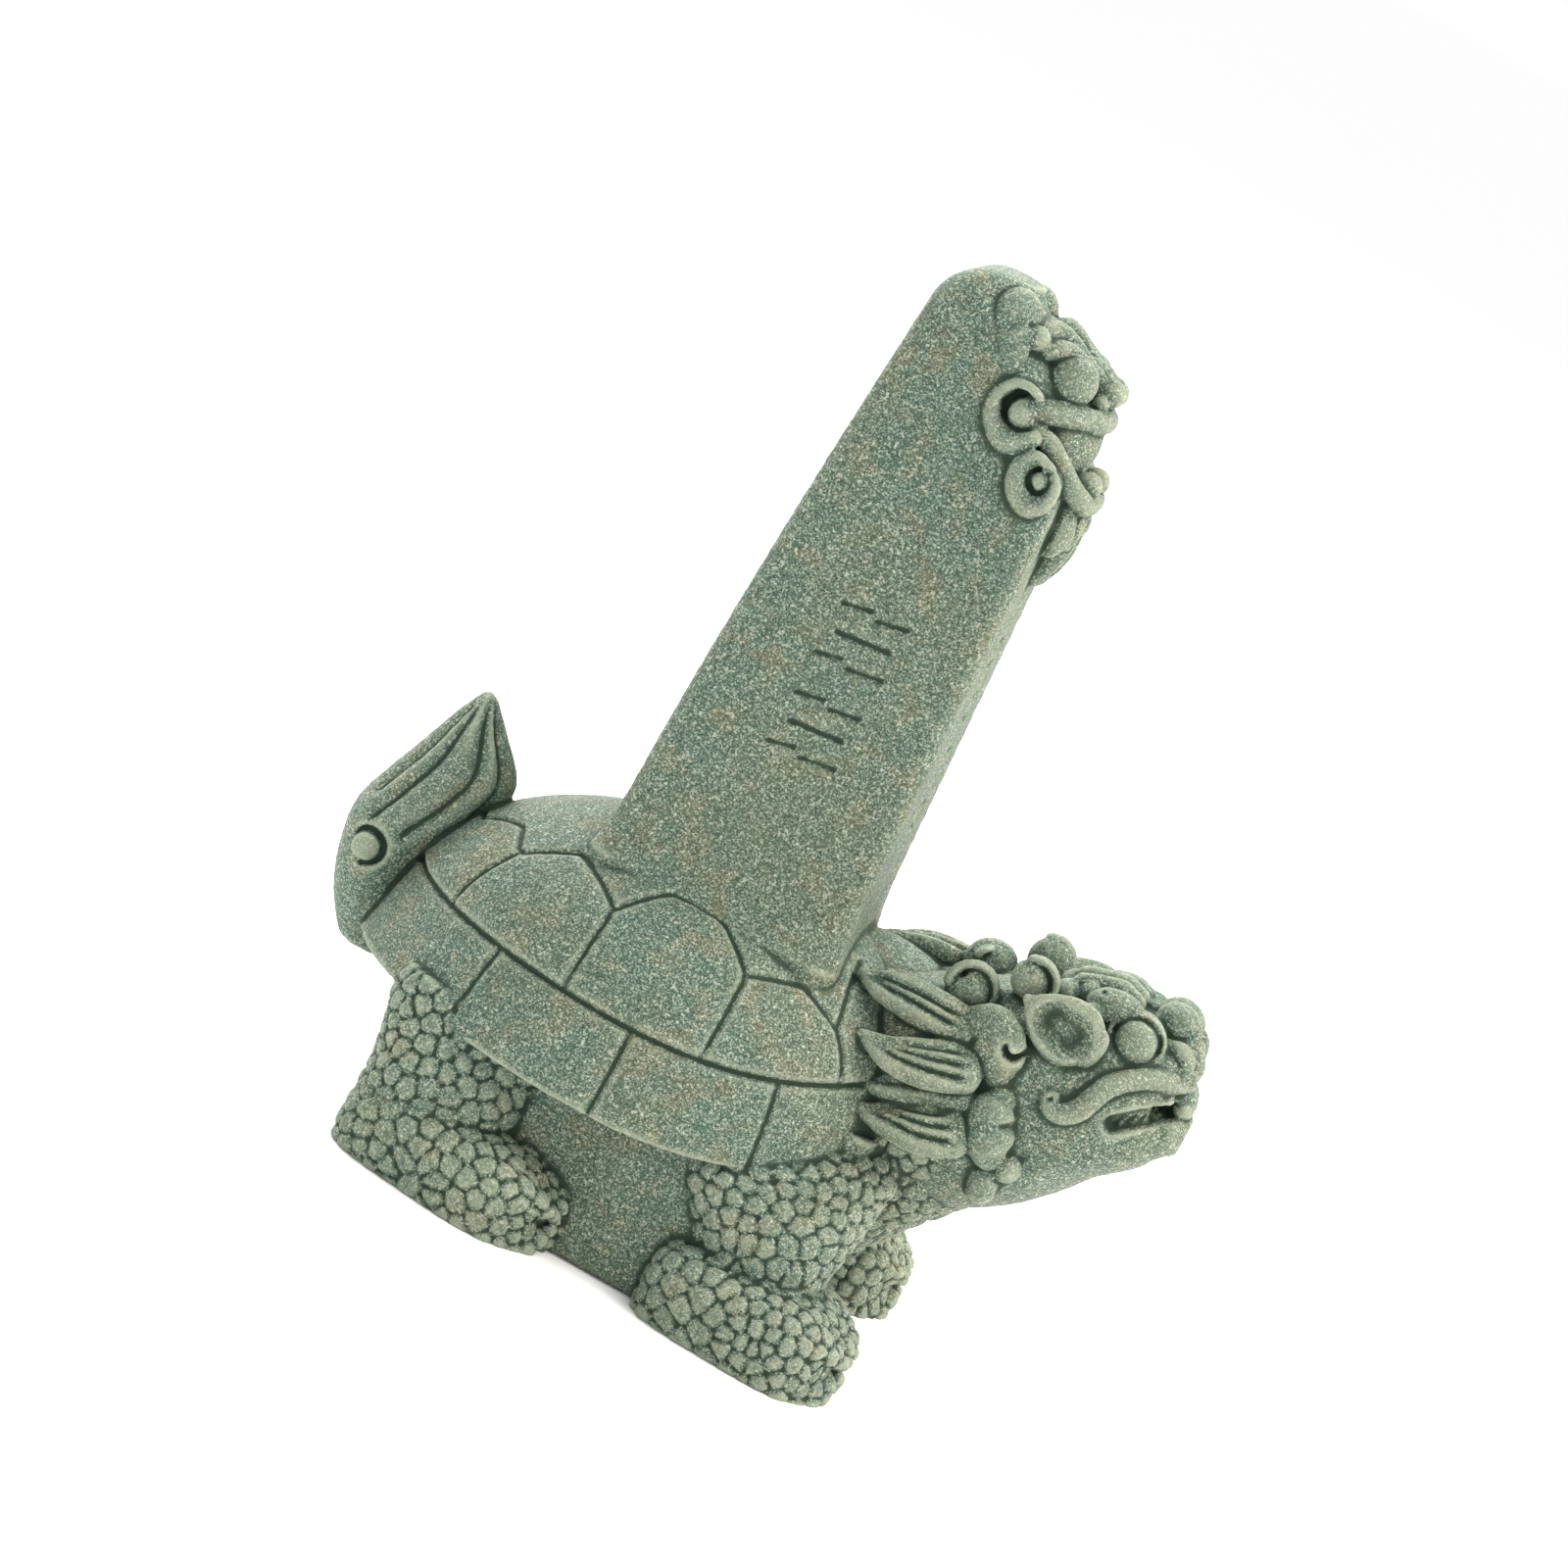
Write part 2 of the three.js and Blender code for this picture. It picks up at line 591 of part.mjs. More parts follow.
/** The mask: ears, brows, eyes, nose, lips, jaw, curls and beard, on the pillar's front edge. */
function mask() {
  const middle = [
    ball(at(1.6, 0, 97.4), [2.6, 6, 4.4], 0, 6, 4),
    ball(at(3.4, 0, 103.9), [2, 3.3, 2], 0, 6, 4),
    tube([at(5.4, 0, 92.4), at(6.6, 0, 88), at(5.4, 0, 81.8)], [2, 2.1, 1.3], [1.4, 1.2, 0.9], {
      out: at(1, 0, 0),
      rows: 3,
    }),
  ];
  const across = (points) => {
    const far = points.toReversed().map((point) => at(point.x, -point.y, point.z));
    return [...points, ...far];
  };
  const lip = tube(
    across([at(-1.8, -9, 99.2), at(1.6, -7, 100.6), at(3.9, -3.4, 100.9)]),
    [0.8, 1.3, 1.2, 1.2, 1.3, 0.8],
    undefined,
    { out: UP, sides: 4, rows: 7 },
  );
  const jaw = tube(
    across([at(-1.6, -9.8, 98.4), at(1.8, -9.2, 96), at(4.8, -6.4, 93.4), at(6.6, -3, 92.8)]),
    [1.4, 1.8, 1.9, 1.5, 1.5, 1.9, 1.8, 1.4],
    undefined,
    { out: UP, sides: 5, rows: 9 },
  );
  const brow = tube(
    [at(-5.3, -9, 103.9), at(-5.2, -8, 105.7), at(-3.2, -6, 106.5), at(0, -4, 105.5), at(2.4, -2, 104.7)],
    [1.1, 1.4, 1.4, 0.9],
    undefined,
    { sides: 4, rows: 4 },
  );
  const strand = tube(
    [at(4.6, -4.4, 91.4), at(6, -3.6, 87.6), at(4.9, -2.2, 83.4)],
    [1.3, 1.8, 0.5],
    undefined,
    { sides: 4, rows: 3 },
  );
  const sides = [
    ball(at(-7.4, -9.2, 105.4), [2.1, 1.7, 4.9], 8, 5, 4),
    brow,
    ball(at(0.3, -6.6, 103.9), [2.9, 2.5, 2.6], 0, 6, 4),
    strand,
    curl(at(-4.1, -10.6, 98.4), 20, -400, 3, 1.3),
    curl(at(1.2, -10, 92.8), 60, -400, 2.6, 1.3),
  ];
  return [...middle, lip, jaw, ...sides.flatMap(pair)];
}

// Carved strokes in the inscriptions' places: rows of short slanted cuts

/** Rows of strokes on a face; each row lists strokes as [start, end] shares of the width. */
const STROKE_ROWS = [
  [[0.02, 0.42], [0.56, 0.98]],
  [[0.14, 0.9]],
  [[0, 0.36], [0.5, 1]],
];
const COLUMN_ROWS = [[[0.1, 0.9]], [[0, 0.7]]];

function strokes(surface, rows, width, height) {
  const slant = 0.3;
  return rows.flatMap((row, index) => {
    const rise = height * (0.5 - index / (rows.length - 1));
    return row.map(([start, end]) => {
      const [from, to] = [start - 0.5, end - 0.5].map((share) => share * width);
      return cut(surface, [[from, rise - slant], [to, rise + slant]], STROKE);
    });
  });
}

function inscriptions() {
  const blocksFrom = (top, pitch, count) => steps(count, (index) => top - pitch * index);
  const sideFace = (middle) => (u, v) => at(-6.2 + u, -pillarSize(middle + v).half, middle + v);
  const frontFace = (middle) => (u, v) => at(pillarSize(middle + v).front, u, middle + v);
  const sides = blocksFrom(69.8, 10.4, 2).flatMap((z) => strokes(sideFace(z), STROKE_ROWS, 7.4, 5.8));
  const front = blocksFrom(73.4, 6.4, 4).flatMap((z) => strokes(frontFace(z), COLUMN_ROWS, 5.6, 2.6));
  return [...sides.flatMap(pair), ...front];
}

// The figure

function figure() {
  const body = joined([
    shell(),
    ...belly(),
    ...legs(),
    chest(),
    ...skull(),
    pillar(),
  ]);
  const carved = body
    .subtract(joined([...shellGrooves(), ...inscriptions()]))
    .subtract(joined(mouth()));
  return carved.add(joined([...headFeatures(), ...mane(), ...tail(), ...mask()]));
}

/** A solid's surface as a three.js geometry. */
function surfaceOf(whole) {
  const mesh = whole.getMesh();
  const geometry = new THREE.BufferGeometry();
  geometry.setAttribute('position', new THREE.BufferAttribute(mesh.vertProperties, 3));
  geometry.setIndex(new THREE.BufferAttribute(mesh.triVerts, 1));
  geometry.computeVertexNormals();
  return geometry;
}

const stone = new THREE.MeshStandardMaterial({ color: STONE_COLOUR, roughness: 0.85, metalness: 0 });
const dragonTurtle = new THREE.Mesh(surfaceOf(figure()), stone);
dragonTurtle.name = 'dragon_turtle';

const guardian = new THREE.Group();
guardian.add(dragonTurtle);

export default guardian;
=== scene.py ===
"""Dresses the dragon turtle: a small speckled stone guardian with a pillar on its shell.

Sizes are millimetres until the finished mesh is written: +X towards the head, +Z up, feet on z = 0.
Each form is a closed grid of points with its own relief; together they are fused into one carved skin.
"""

import logging
import math
from dataclasses import dataclass
from enum import Enum
from typing import Callable, ClassVar, Sequence

import bpy
import numpy as np
from mathutils import Matrix, Vector


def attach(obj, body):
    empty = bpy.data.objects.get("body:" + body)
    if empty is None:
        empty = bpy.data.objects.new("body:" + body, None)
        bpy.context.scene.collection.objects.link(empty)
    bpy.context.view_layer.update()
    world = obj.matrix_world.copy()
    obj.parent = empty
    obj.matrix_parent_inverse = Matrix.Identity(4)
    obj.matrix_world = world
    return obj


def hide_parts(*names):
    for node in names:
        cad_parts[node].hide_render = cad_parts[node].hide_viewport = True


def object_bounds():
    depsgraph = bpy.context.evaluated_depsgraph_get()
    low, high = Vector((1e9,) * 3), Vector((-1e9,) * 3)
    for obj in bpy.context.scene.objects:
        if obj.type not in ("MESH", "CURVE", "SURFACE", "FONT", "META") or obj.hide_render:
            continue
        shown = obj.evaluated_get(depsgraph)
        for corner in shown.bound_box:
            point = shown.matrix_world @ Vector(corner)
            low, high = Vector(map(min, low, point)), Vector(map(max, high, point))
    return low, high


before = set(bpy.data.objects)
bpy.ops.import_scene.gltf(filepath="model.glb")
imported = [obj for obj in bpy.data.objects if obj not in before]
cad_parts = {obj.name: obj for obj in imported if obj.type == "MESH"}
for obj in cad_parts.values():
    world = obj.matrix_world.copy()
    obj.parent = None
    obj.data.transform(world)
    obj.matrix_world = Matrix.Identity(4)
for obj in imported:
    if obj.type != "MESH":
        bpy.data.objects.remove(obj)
CAD_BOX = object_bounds()

LOG = logging.getLogger("guardian")
NODE = "dragon_turtle"
MM = 0.001

Array = np.ndarray
Rows = Sequence[Sequence[float]]
Colour = tuple[float, float, float]


class Facing(Enum):
    """Ways that a form can face."""

    NEAR = (0.0, -1.0, 0.0)
    UP = (0.0, 0.0, 1.0)
    AHEAD = (1.0, 0.0, 0.0)


# Tools for forms


@dataclass
class Skin:
    """A closed surface.

    Attributes:
        points: one row of x, y, z for each point.
        faces: one row of three point numbers for each triangle, facing outwards.
    """

    points: Array
    faces: Array

    def mirrored(self) -> "Skin":
        """The same skin on the other side of y = 0."""
        return Skin(self.points * (1.0, -1.0, 1.0), self.faces[:, ::-1])


def both(skins: Sequence[Skin]) -> list[Skin]:
    """Skins of the near side together with their mirror images."""
    return [copy for skin in skins for copy in (skin, skin.mirrored())]


def closed(rings: Array) -> Skin:
    """Joins rings of points into a closed skin: walls between neighbours, and a fan over each end.

    Args:
        rings: points by ring and place round the ring.

    Returns:
        The skin, turned to face outwards by the sign of its volume.
    """
    count, sides = rings.shape[:2]
    index = np.arange(count * sides).reshape(count, sides)
    low, high = index[:-1], index[1:]
    low_next, high_next = np.roll(low, -1, axis=1), np.roll(high, -1, axis=1)
    walls = [np.stack(corners, -1).reshape(-1, 3) for corners in ((low, low_next, high_next), (low, high_next, high))]
    hubs = np.full(sides, count * sides)
    start = np.stack((hubs, np.roll(index[0], -1), index[0]), -1)
    end = np.stack((hubs + 1, index[-1], np.roll(index[-1], -1)), -1)
    points = np.concatenate((rings.reshape(-1, 3), rings[:1].mean(axis=1), rings[-1:].mean(axis=1)))
    faces = np.concatenate((*walls, start, end))
    a, b, c = (points[faces[:, corner]] for corner in range(3))
    outward = np.einsum("ij,ij->", a, np.cross(b, c)) > 0
    return Skin(points, faces if outward else faces[:, ::-1])


def spline(rows: Rows, count: int) -> Array:
    """A smooth curve through rows of numbers: a Catmull-Rom cubic between each two.

    Args:
        rows: the rows to pass through, of any width.
        count: how many rows to return, evenly spread by row number.

    Returns:
        The rows of the curve.
    """
    values = np.asarray(rows, float)
    last = len(values) - 1
    place = np.linspace(0.0, last, count)
    index = np.minimum(place.astype(int), last - 1)
    part = (place - index)[:, None]
    padded = np.vstack((2 * values[0] - values[1], values, 2 * values[-1] - values[-2]))
    before, start, end, after = (padded[index + step] for step in range(4))
    return 0.5 * (
        2 * start
        + (end - before) * part
        + (2 * before - 5 * start + 4 * end - after) * part**2
        + (3 * start - before - 3 * end + after) * part**3
    )


def signed(value: Array, power: float) -> Array:
    """A power that keeps the sign, for squarish rounds."""
    return np.sign(value) * np.abs(value) ** power


def smooth(value: Array, low: float, high: float) -> Array:
    """The smooth step 3t² - 2t³, where t runs from 0 at `low` to 1 at `high`."""
    part = np.clip((value - low) / (high - low), 0.0, 1.0)
    return part * part * (3 - 2 * part)


def unit(vectors: Array) -> Array:
    """The vectors at length 1."""
    return vectors / np.maximum(np.linalg.norm(vectors, axis=-1, keepdims=True), 1e-9)


def outward(rings: Array) -> Array:
    """Normals of a closed grid: the cross product of its two directions, turned away from each ring's middle.

    Args:
        rings: points by ring and place round the ring.

    Returns:
        One unit vector for each point.
    """
    across = np.roll(rings, -1, axis=1) - np.roll(rings, 1, axis=1)
    normal = unit(np.cross(across, np.gradient(rings, axis=0)))
    away = rings - rings.mean(axis=(0, 1))
    return normal * np.sign(np.einsum("ijk,ijk->", normal, away))


def raised(rings: Array, height: Array) -> Array:
    """Moves each point of a closed grid along its normal.

    Args:
        rings: points by ring and place round the ring.
        height: how far to move each point out.

    Returns:
        The moved points.
    """
    return rings + outward(rings) * height[..., None]


def gap_to(points: Array, line: Array, flat: Array | None = None) -> Array:
    """Distance from points to a line of straight pieces, optionally seen along a direction.

    Args:
        points: the points, in any arrangement.
        line: corners of the line.
        flat: a unit direction along which distance doesn't count.

    Returns:
        The least distance for each point.
    """
    if flat is not None:
        keep = np.eye(3) - np.outer(flat, flat)
        points, line = points @ keep, line @ keep
    nearest = np.full(points.shape[:-1], np.inf)
    for start, end in zip(line[:-1], line[1:]):
        span = end - start
        share = np.clip((points - start) @ span / max(span @ span, 1e-12), 0.0, 1.0)
        away = np.linalg.norm(points - start - share[..., None] * span, axis=-1)
        nearest = np.minimum(nearest, away)
    return nearest


def groove(gap: Array, half: float, depth: float) -> Array:
    """Depth of a groove with a rounded floor: depth · e^-(gap/half)²."""
    return depth * np.exp(-((gap / half) ** 2))


def press(points: Array, line: Rows, depth: float, soft: float = 0.3, least: float = 3.0) -> Array:
    """Sinks a slot into both sides of a form, towards y = 0.

    Args:
        points: the form's points.
        line: the slot's middle line as x, z and half width.
        depth: how far it sinks.
        soft: share of the half width over which its edge falls.
        least: points nearer than this to y = 0 stay.

    Returns:
        The moved points.
    """
    rows = np.asarray(line, float)
    ratio = np.full(points.shape[:-1], np.inf)
    for start, end in zip(rows[:-1], rows[1:]):
        span = end[:2] - start[:2]
        away = points[..., (0, 2)] - start[:2]
        share = np.clip(away @ span / max(span @ span, 1e-9), 0.0, 1.0)
        half = start[2] + (end[2] - start[2]) * share
        ratio = np.minimum(ratio, np.linalg.norm(away - share[..., None] * span, axis=-1) / half)
    share = (1 - smooth(ratio, 1 - soft, 1 + soft)) * smooth(np.abs(points[..., 1]), least, least + 1)
    moved = points.copy()
    moved[..., 1] -= np.sign(points[..., 1]) * depth * share
    return moved


def loop(centre: tuple[float, float], radii: tuple[float, float], half: float, count: int = 24) -> Rows:
    """An oval line for `press`: x, z and half width of its corners.

    Args:
        centre: x and z of its middle.
        radii: half sizes along x and z.
        half: half width of the line.
        count: number of corners.

    Returns:
        The corners.
    """
    return [
        (centre[0] + radii[0] * math.cos(a), centre[1] + radii[1] * math.sin(a), half)
        for a in np.linspace(0, 2 * math.pi, count)
    ]


def even_steps(line: Array, count: int, ring: bool = False) -> Array:
    """Points at even distances along a line of close points.

    Args:
        line: the points, one row each.
        count: how many points to return.
        ring: whether the line runs back to its first point.

    Returns:
        The new points.
    """
    line = np.vstack((line, line[:1])) if ring else line
    run = np.concatenate(([0.0], np.cumsum(np.linalg.norm(np.diff(line, axis=0), axis=1))))
    place = np.linspace(0.0, run[-1], count, endpoint=not ring)
    return np.stack([np.interp(place, run, column) for column in line.T], -1)


def tube(
    rows: Rows,
    out: Facing | Sequence[float] = Facing.NEAR,
    sides: int = 36,
    count: int = 72,
    square: float = 1.0,
    cuts: Rows = (),
) -> Array:
    """A round bar along a smooth path, with rounded ends.

    A ring at each step holds centre + wide · cos(a) · side + thick · sin(a) · face, and at the ends the
    rings shrink as a half round does. Cuts are grooves that run lengthwise on its outer face.

    Args:
        rows: x, y, z, half width and, if it differs, half thickness.
        out: the way that the thickness points.
        sides: points round a ring.
        count: rings along the path.
        square: below 1 the section is squarish.
        cuts: each groove's place across at the start and at the end, from -1 to 1, its half width and depth.

    Returns:
        Rings of points.
    """
    line = spline(rows, count)
    centre, wide, thick = line[:, :3], line[:, 3:4], line[:, -1:]
    forward = unit(np.gradient(centre, axis=0))
    facing = np.array(out.value if isinstance(out, Facing) else out)
    side = unit(np.cross(forward, facing))
    face = np.cross(side, forward)
    angle = np.linspace(0.0, 2 * np.pi, sides, endpoint=False)
    across, rise = signed(np.cos(angle), square), signed(np.sin(angle), square)
    rings = centre[:, None] + side[:, None] * (wide * across)[..., None] + face[:, None] * (thick * rise)[..., None]
    part = np.linspace(0.0, 1.0, count)[:, None]
    depth = np.zeros((count + 12, sides))
    for first, last, half, deep in cuts:
        gap = (across - first - (last - first) * part) * wide
        depth[6:-6] += groove(gap, half, deep) * (rise > 0) * smooth(part, 0.02, 0.3) * smooth(1 - part, 0.0, 0.2)
    bend = np.radians(np.linspace(12, 78, 6))
    start, end = rings[0], rings[-1]
    reach = (min(wide[0, 0], thick[0, 0]), min(wide[-1, 0], thick[-1, 0]))
    head = [centre[0] - forward[0] * reach[0] * np.cos(b) + (start - centre[0]) * np.sin(b) for b in bend]
    tail = [centre[-1] + forward[-1] * reach[1] * np.cos(b) + (end - centre[-1]) * np.sin(b) for b in bend[::-1]]
    rings = np.concatenate((np.array(head), rings, np.array(tail)))
    return raised(rings, -depth) if cuts else rings


def egg(centre: Sequence[float], half: Sequence[float], tip: float = 0.0, rows: int = 36, sides: int = 48) -> Array:
    """An egg: rings from pole to pole, scaled by three half sizes and tipped about y.

    Args:
        centre: its middle.
        half: half sizes along x, y and z.
        tip: turn about the near direction, in degrees.
        rows: rings from pole to pole.
        sides: points round a ring.

    Returns:
        Rings of points.
    """
    polar = (np.pi * (np.arange(rows) + 0.5) / rows)[:, None]
    angle = np.linspace(0.0, 2 * np.pi, sides, endpoint=False)[None]
    unit_ball = np.stack(
        (np.sin(polar) * np.cos(angle), np.sin(polar) * np.sin(angle), np.cos(polar) * np.ones_like(angle)), -1
    )
    turn = np.array(Matrix.Rotation(math.radians(tip), 3, Vector(Facing.NEAR.value)))
    return unit_ball * np.asarray(half) @ turn.T + np.asarray(centre)


def arc(centre: Sequence[float], start: float, turn: float, radii: tuple[float, float], lift: float, count: int) -> Array:
    """Points of a curl seen from the side: it winds about its centre while its radius shrinks.

    Args:
        centre: middle of the curl.
        start: first angle in degrees, from ahead towards up.
        turn: how far it winds, in degrees.
        radii: first and last radius.
        lift: how far its inner end stands out towards the near side.
        count: number of points.

    Returns:
        The points.
    """
    part = np.linspace(0.0, 1.0, count)
    angle = np.radians(start + turn * part)
    radius = radii[0] + (radii[1] - radii[0]) * part
    x, y, z = centre
    return np.stack((x + radius * np.cos(angle), y - lift * part, z + radius * np.sin(angle)), -1)


def curl(
    centre: Sequence[float],
    start: float,
    turn: float,
    radii: tuple[float, float],
    thick: Sequence[float],
    lift: float = 0.0,
    deep: float = 1.0,
) -> Array:
    """A round bar that winds in on itself.

    Args:
        centre: middle of the curl.
        start: first angle in degrees.
        turn: how far it winds, in degrees.
        radii: first and last radius of its middle line.
        thick: radii of the bar from its outer to its inner end.
        lift: how far the inner end stands out.
        deep: how many times deeper than wide the bar is.

    Returns:
        Rings of points.
    """
    path = arc(centre, start, turn, radii, lift, 14)
    radius = spline([(value,) for value in thick], len(path))
    return tube(np.hstack((path, radius, deep * radius)), count=90, sides=28)


@dataclass(frozen=True)
class Scales:
    """Scales with rounded tops and dark lines between them, on a closed grid.

    Attributes:
        size: distance between the middles of two scales.
        rise: height of a scale over the lines between them.
        line: width over which a scale falls to the line.
        dome: how much higher a scale's middle is than its rim.
        uneven: how much higher or lower than the others a whole scale may be.
        rounds: times that the middles are moved to even them out.
    """

    size: float = 2.3
    rise: float = 0.56
    line: float = 0.5
    dome: float = 0.12
    uneven: float = 0.12
    rounds: int = 9

    def spread(self, points: Array, weight: Array, seed: int) -> Array:
        """Middles of scales, spread evenly by moving each to the middle of its own points.

        Args:
            points: points of the surface.
            weight: area that each of them stands for.
            seed: start of the random choice.

        Returns:
            The middles.
        """
        chance = np.random.default_rng(seed)
        count = max(4, int(weight.sum() / (0.87 * self.size**2)))
        middles = points[chance.choice(len(points), count, replace=False, p=weight / weight.sum())]
        thin = chance.choice(len(points), min(len(points), 9000), replace=False, p=weight / weight.sum())
        sample = points[thin]
        for _ in range(self.rounds):
            owner = ((sample[:, None] - middles) ** 2).sum(-1).argmin(1)
            held = np.bincount(owner, minlength=count)
            sums = np.stack([np.bincount(owner, sample[:, axis], count) for axis in range(3)], -1)
            middles = np.where(held[:, None] > 0, sums / np.maximum(held, 1)[:, None], middles)
        return middles

    def on(self, rings: Array, seed: int) -> Array:
        """Raises scales on a closed grid: a smooth step over the line's width of the gap, which is how much
        farther the second nearest middle is than the nearest, plus a low dome.

        Args:
            rings: points by ring and place round the ring.
            seed: start of the random choice.

        Returns:
            The moved points.
        """
        across = np.roll(rings, -1, axis=1) - rings
        along = np.gradient(rings, axis=0)
        area = np.linalg.norm(np.cross(across, along), axis=-1)
        points = rings.reshape(-1, 3)
        middles = self.spread(points, area.reshape(-1), seed)
        owner = np.empty((len(points), 2), int)
        near = np.empty((len(points), 2))
        for part in np.array_split(np.arange(len(points)), max(1, len(points) // 4000)):
            away = np.linalg.norm(points[part, None] - middles, axis=-1)
            owner[part] = np.argpartition(away, 1, axis=1)[:, :2]
            near[part] = np.take_along_axis(away, owner[part], axis=1)
        gap = near[:, 1] - near[:, 0]
        bump = np.maximum(0.0, 1 - (near[:, 0] / (0.6 * self.size)) ** 2)
        own = np.random.default_rng(seed).uniform(-self.uneven, self.uneven, len(middles))[owner[:, 0]]
        top = smooth(gap, 0.0, self.line)
        height = self.rise * (top - 0.7) + top * (self.dome * bump + own)
        return raised(rings, height.reshape(rings.shape[:2]))


# Shell


@dataclass
class Shell:
    """The domed shell with its plates, ring groove and rim band."""

    centre_x: float = -8.5
    half_length: float = 32.0
    half_width: float = 27.5
    rim_height: float = 16.0
    front_lift: float = 8.5
    lift_start: float = -15.0
    lift_curve: float = 3.2
    band_height: float = 9.6
    band_inset: float = 0.075
    top: float = 42.5
    dome_curve: float = 0.62
    seam_half: float = 0.3
    seam_depth: float = 0.62
    uprights: tuple[float, ...] = (-120.0, -87.0, -55.0)
    seams: tuple[tuple[tuple[float, float], ...], ...] = (
        ((-31.2, -17), (-29.4, -15.6), (-27.4, -14.2)),
        ((-33.8, -4.8), (-28.9, -9.3), (-27.4, -14.2), (-21.3, -14.2), (-15, -19.7), (-15.3, -25)),
        ((-15, -19.7), (-10.9, -15.7), (-4.8, -15.6), (0.2, -18.8), (0.6, -24.6)),
        ((0.2, -18.8), (5.6, -15.5), (10.8, -15.5)),
        ((9, -6.5), (9.6, -11), (10.8, -15.5), (14.3, -16.8)),
    )
    rear_seam: tuple[tuple[float, float], ...] = ((-33.8, -4.8), (-34.6, 0), (-33.8, 4.8))

    def rim(self, x: Array) -> Array:
        """Height of the rim's lower edge: level behind, rising by a power towards the neck."""
        front = self.centre_x + self.half_length
        reach = np.maximum(0.0, (x - self.lift_start) / (front - self.lift_start))
        return self.rim_height + self.front_lift * reach**self.lift_curve

    def place(self, share: Array, angle: Array) -> Array:
        """Points of the shell by bearing and share of the way out; beyond 1 they run down the band.

        The dome's height over its foot is (1 - share²) to the power of its curve, and the band leans
        out from the groove to the rim by the power 1.5 of its own fall.

        Args:
            share: 0 at the top, 1 at the ring groove, 2 at the rim.
            angle: bearing in radians.

        Returns:
            The points.
        """
        inner = 1 - self.band_inset
        down = np.clip(share - 1, 0.0, 1.0)
        reach = np.where(share < 1, inner * share, 1 - self.band_inset * (1 - down) ** 1.5)
        x = self.centre_x + self.half_length * reach * np.cos(angle)
        y = self.half_width * reach * np.sin(angle)
        foot_x = self.centre_x + self.half_length * (inner + (1 - inner) * down) * np.cos(angle)
        foot = self.rim(foot_x) + self.band_height * (1 - down)
        rise = (self.top - foot) * np.maximum(0.0, 1 - np.minimum(share, 1) ** 2) ** self.dome_curve
        return np.stack((x, y, foot + rise), -1)

    def on_dome(self, corners: Sequence[tuple[float, float]]) -> Array:
        """A line on the dome through places in plan.

        Args:
            corners: x, y of its corners.

        Returns:
            Close points of the line.
        """
        x, y = even_steps(np.asarray(corners, float), 24).T
        across, side = (x - self.centre_x) / self.half_length, y / self.half_width
        share = np.minimum(np.hypot(across, side) / (1 - self.band_inset), 1.0)
        return self.place(share, np.arctan2(side, across))

    def relief(self, rings: Array, share: Array) -> Array:
        """Depth of the seams, the ring groove and the band's upright lines.

        Args:
            rings: points of the shell.
            share: each ring's share of the way out.

        Returns:
            Height to move each point, below zero in a groove.
        """
        lines = [self.on_dome(line) for line in self.seams]
        lines += [
            self.place(np.linspace(1.03, 2.05, 14), np.full(14, math.radians(bearing))) for bearing in self.uprights
        ]
        lines += [line * (1.0, -1.0, 1.0) for line in lines] + [self.on_dome(self.rear_seam)]
        gap = np.min([gap_to(rings, line) for line in lines], axis=0)
        bearings = np.linspace(0.0, 2 * np.pi, 240)
        ring_gap = gap_to(rings, self.place(np.ones(240), bearings))
        cut = np.maximum(groove(gap, self.seam_half, self.seam_depth), groove(ring_gap, 0.32, 0.7))
        return -cut * (share[:, None] < 2.03)

    def forms(self) -> list[Skin]:
        """The shell's skin: dome, band, a rounded lower edge and the underside."""
        share = np.concatenate(
            (np.sin(np.radians(np.linspace(1, 88, 150))), np.linspace(0.9995, 1.08, 8), np.linspace(1.1, 2, 48))
        )
        angle = np.linspace(0.0, 2 * np.pi, 620, endpoint=False)
        grid_share, grid_angle = np.meshgrid(share, angle, indexing="ij")
        top = self.place(grid_share, grid_angle)
        under = []
        for size, lift in ((0.997, -0.12), (0.985, -0.1), (0.96, 0.25), (0.93, 0.7), (0.7, 3.0), (0.3, 5.0)):
            x = self.centre_x + self.half_length * size * np.cos(angle)
            under.append(np.stack((x, self.half_width * size * np.sin(angle), self.rim(x) + lift), -1))
        height = self.relief(top, share)
        return [closed(np.concatenate((raised(top, height), np.array(under))))]


# Pillar


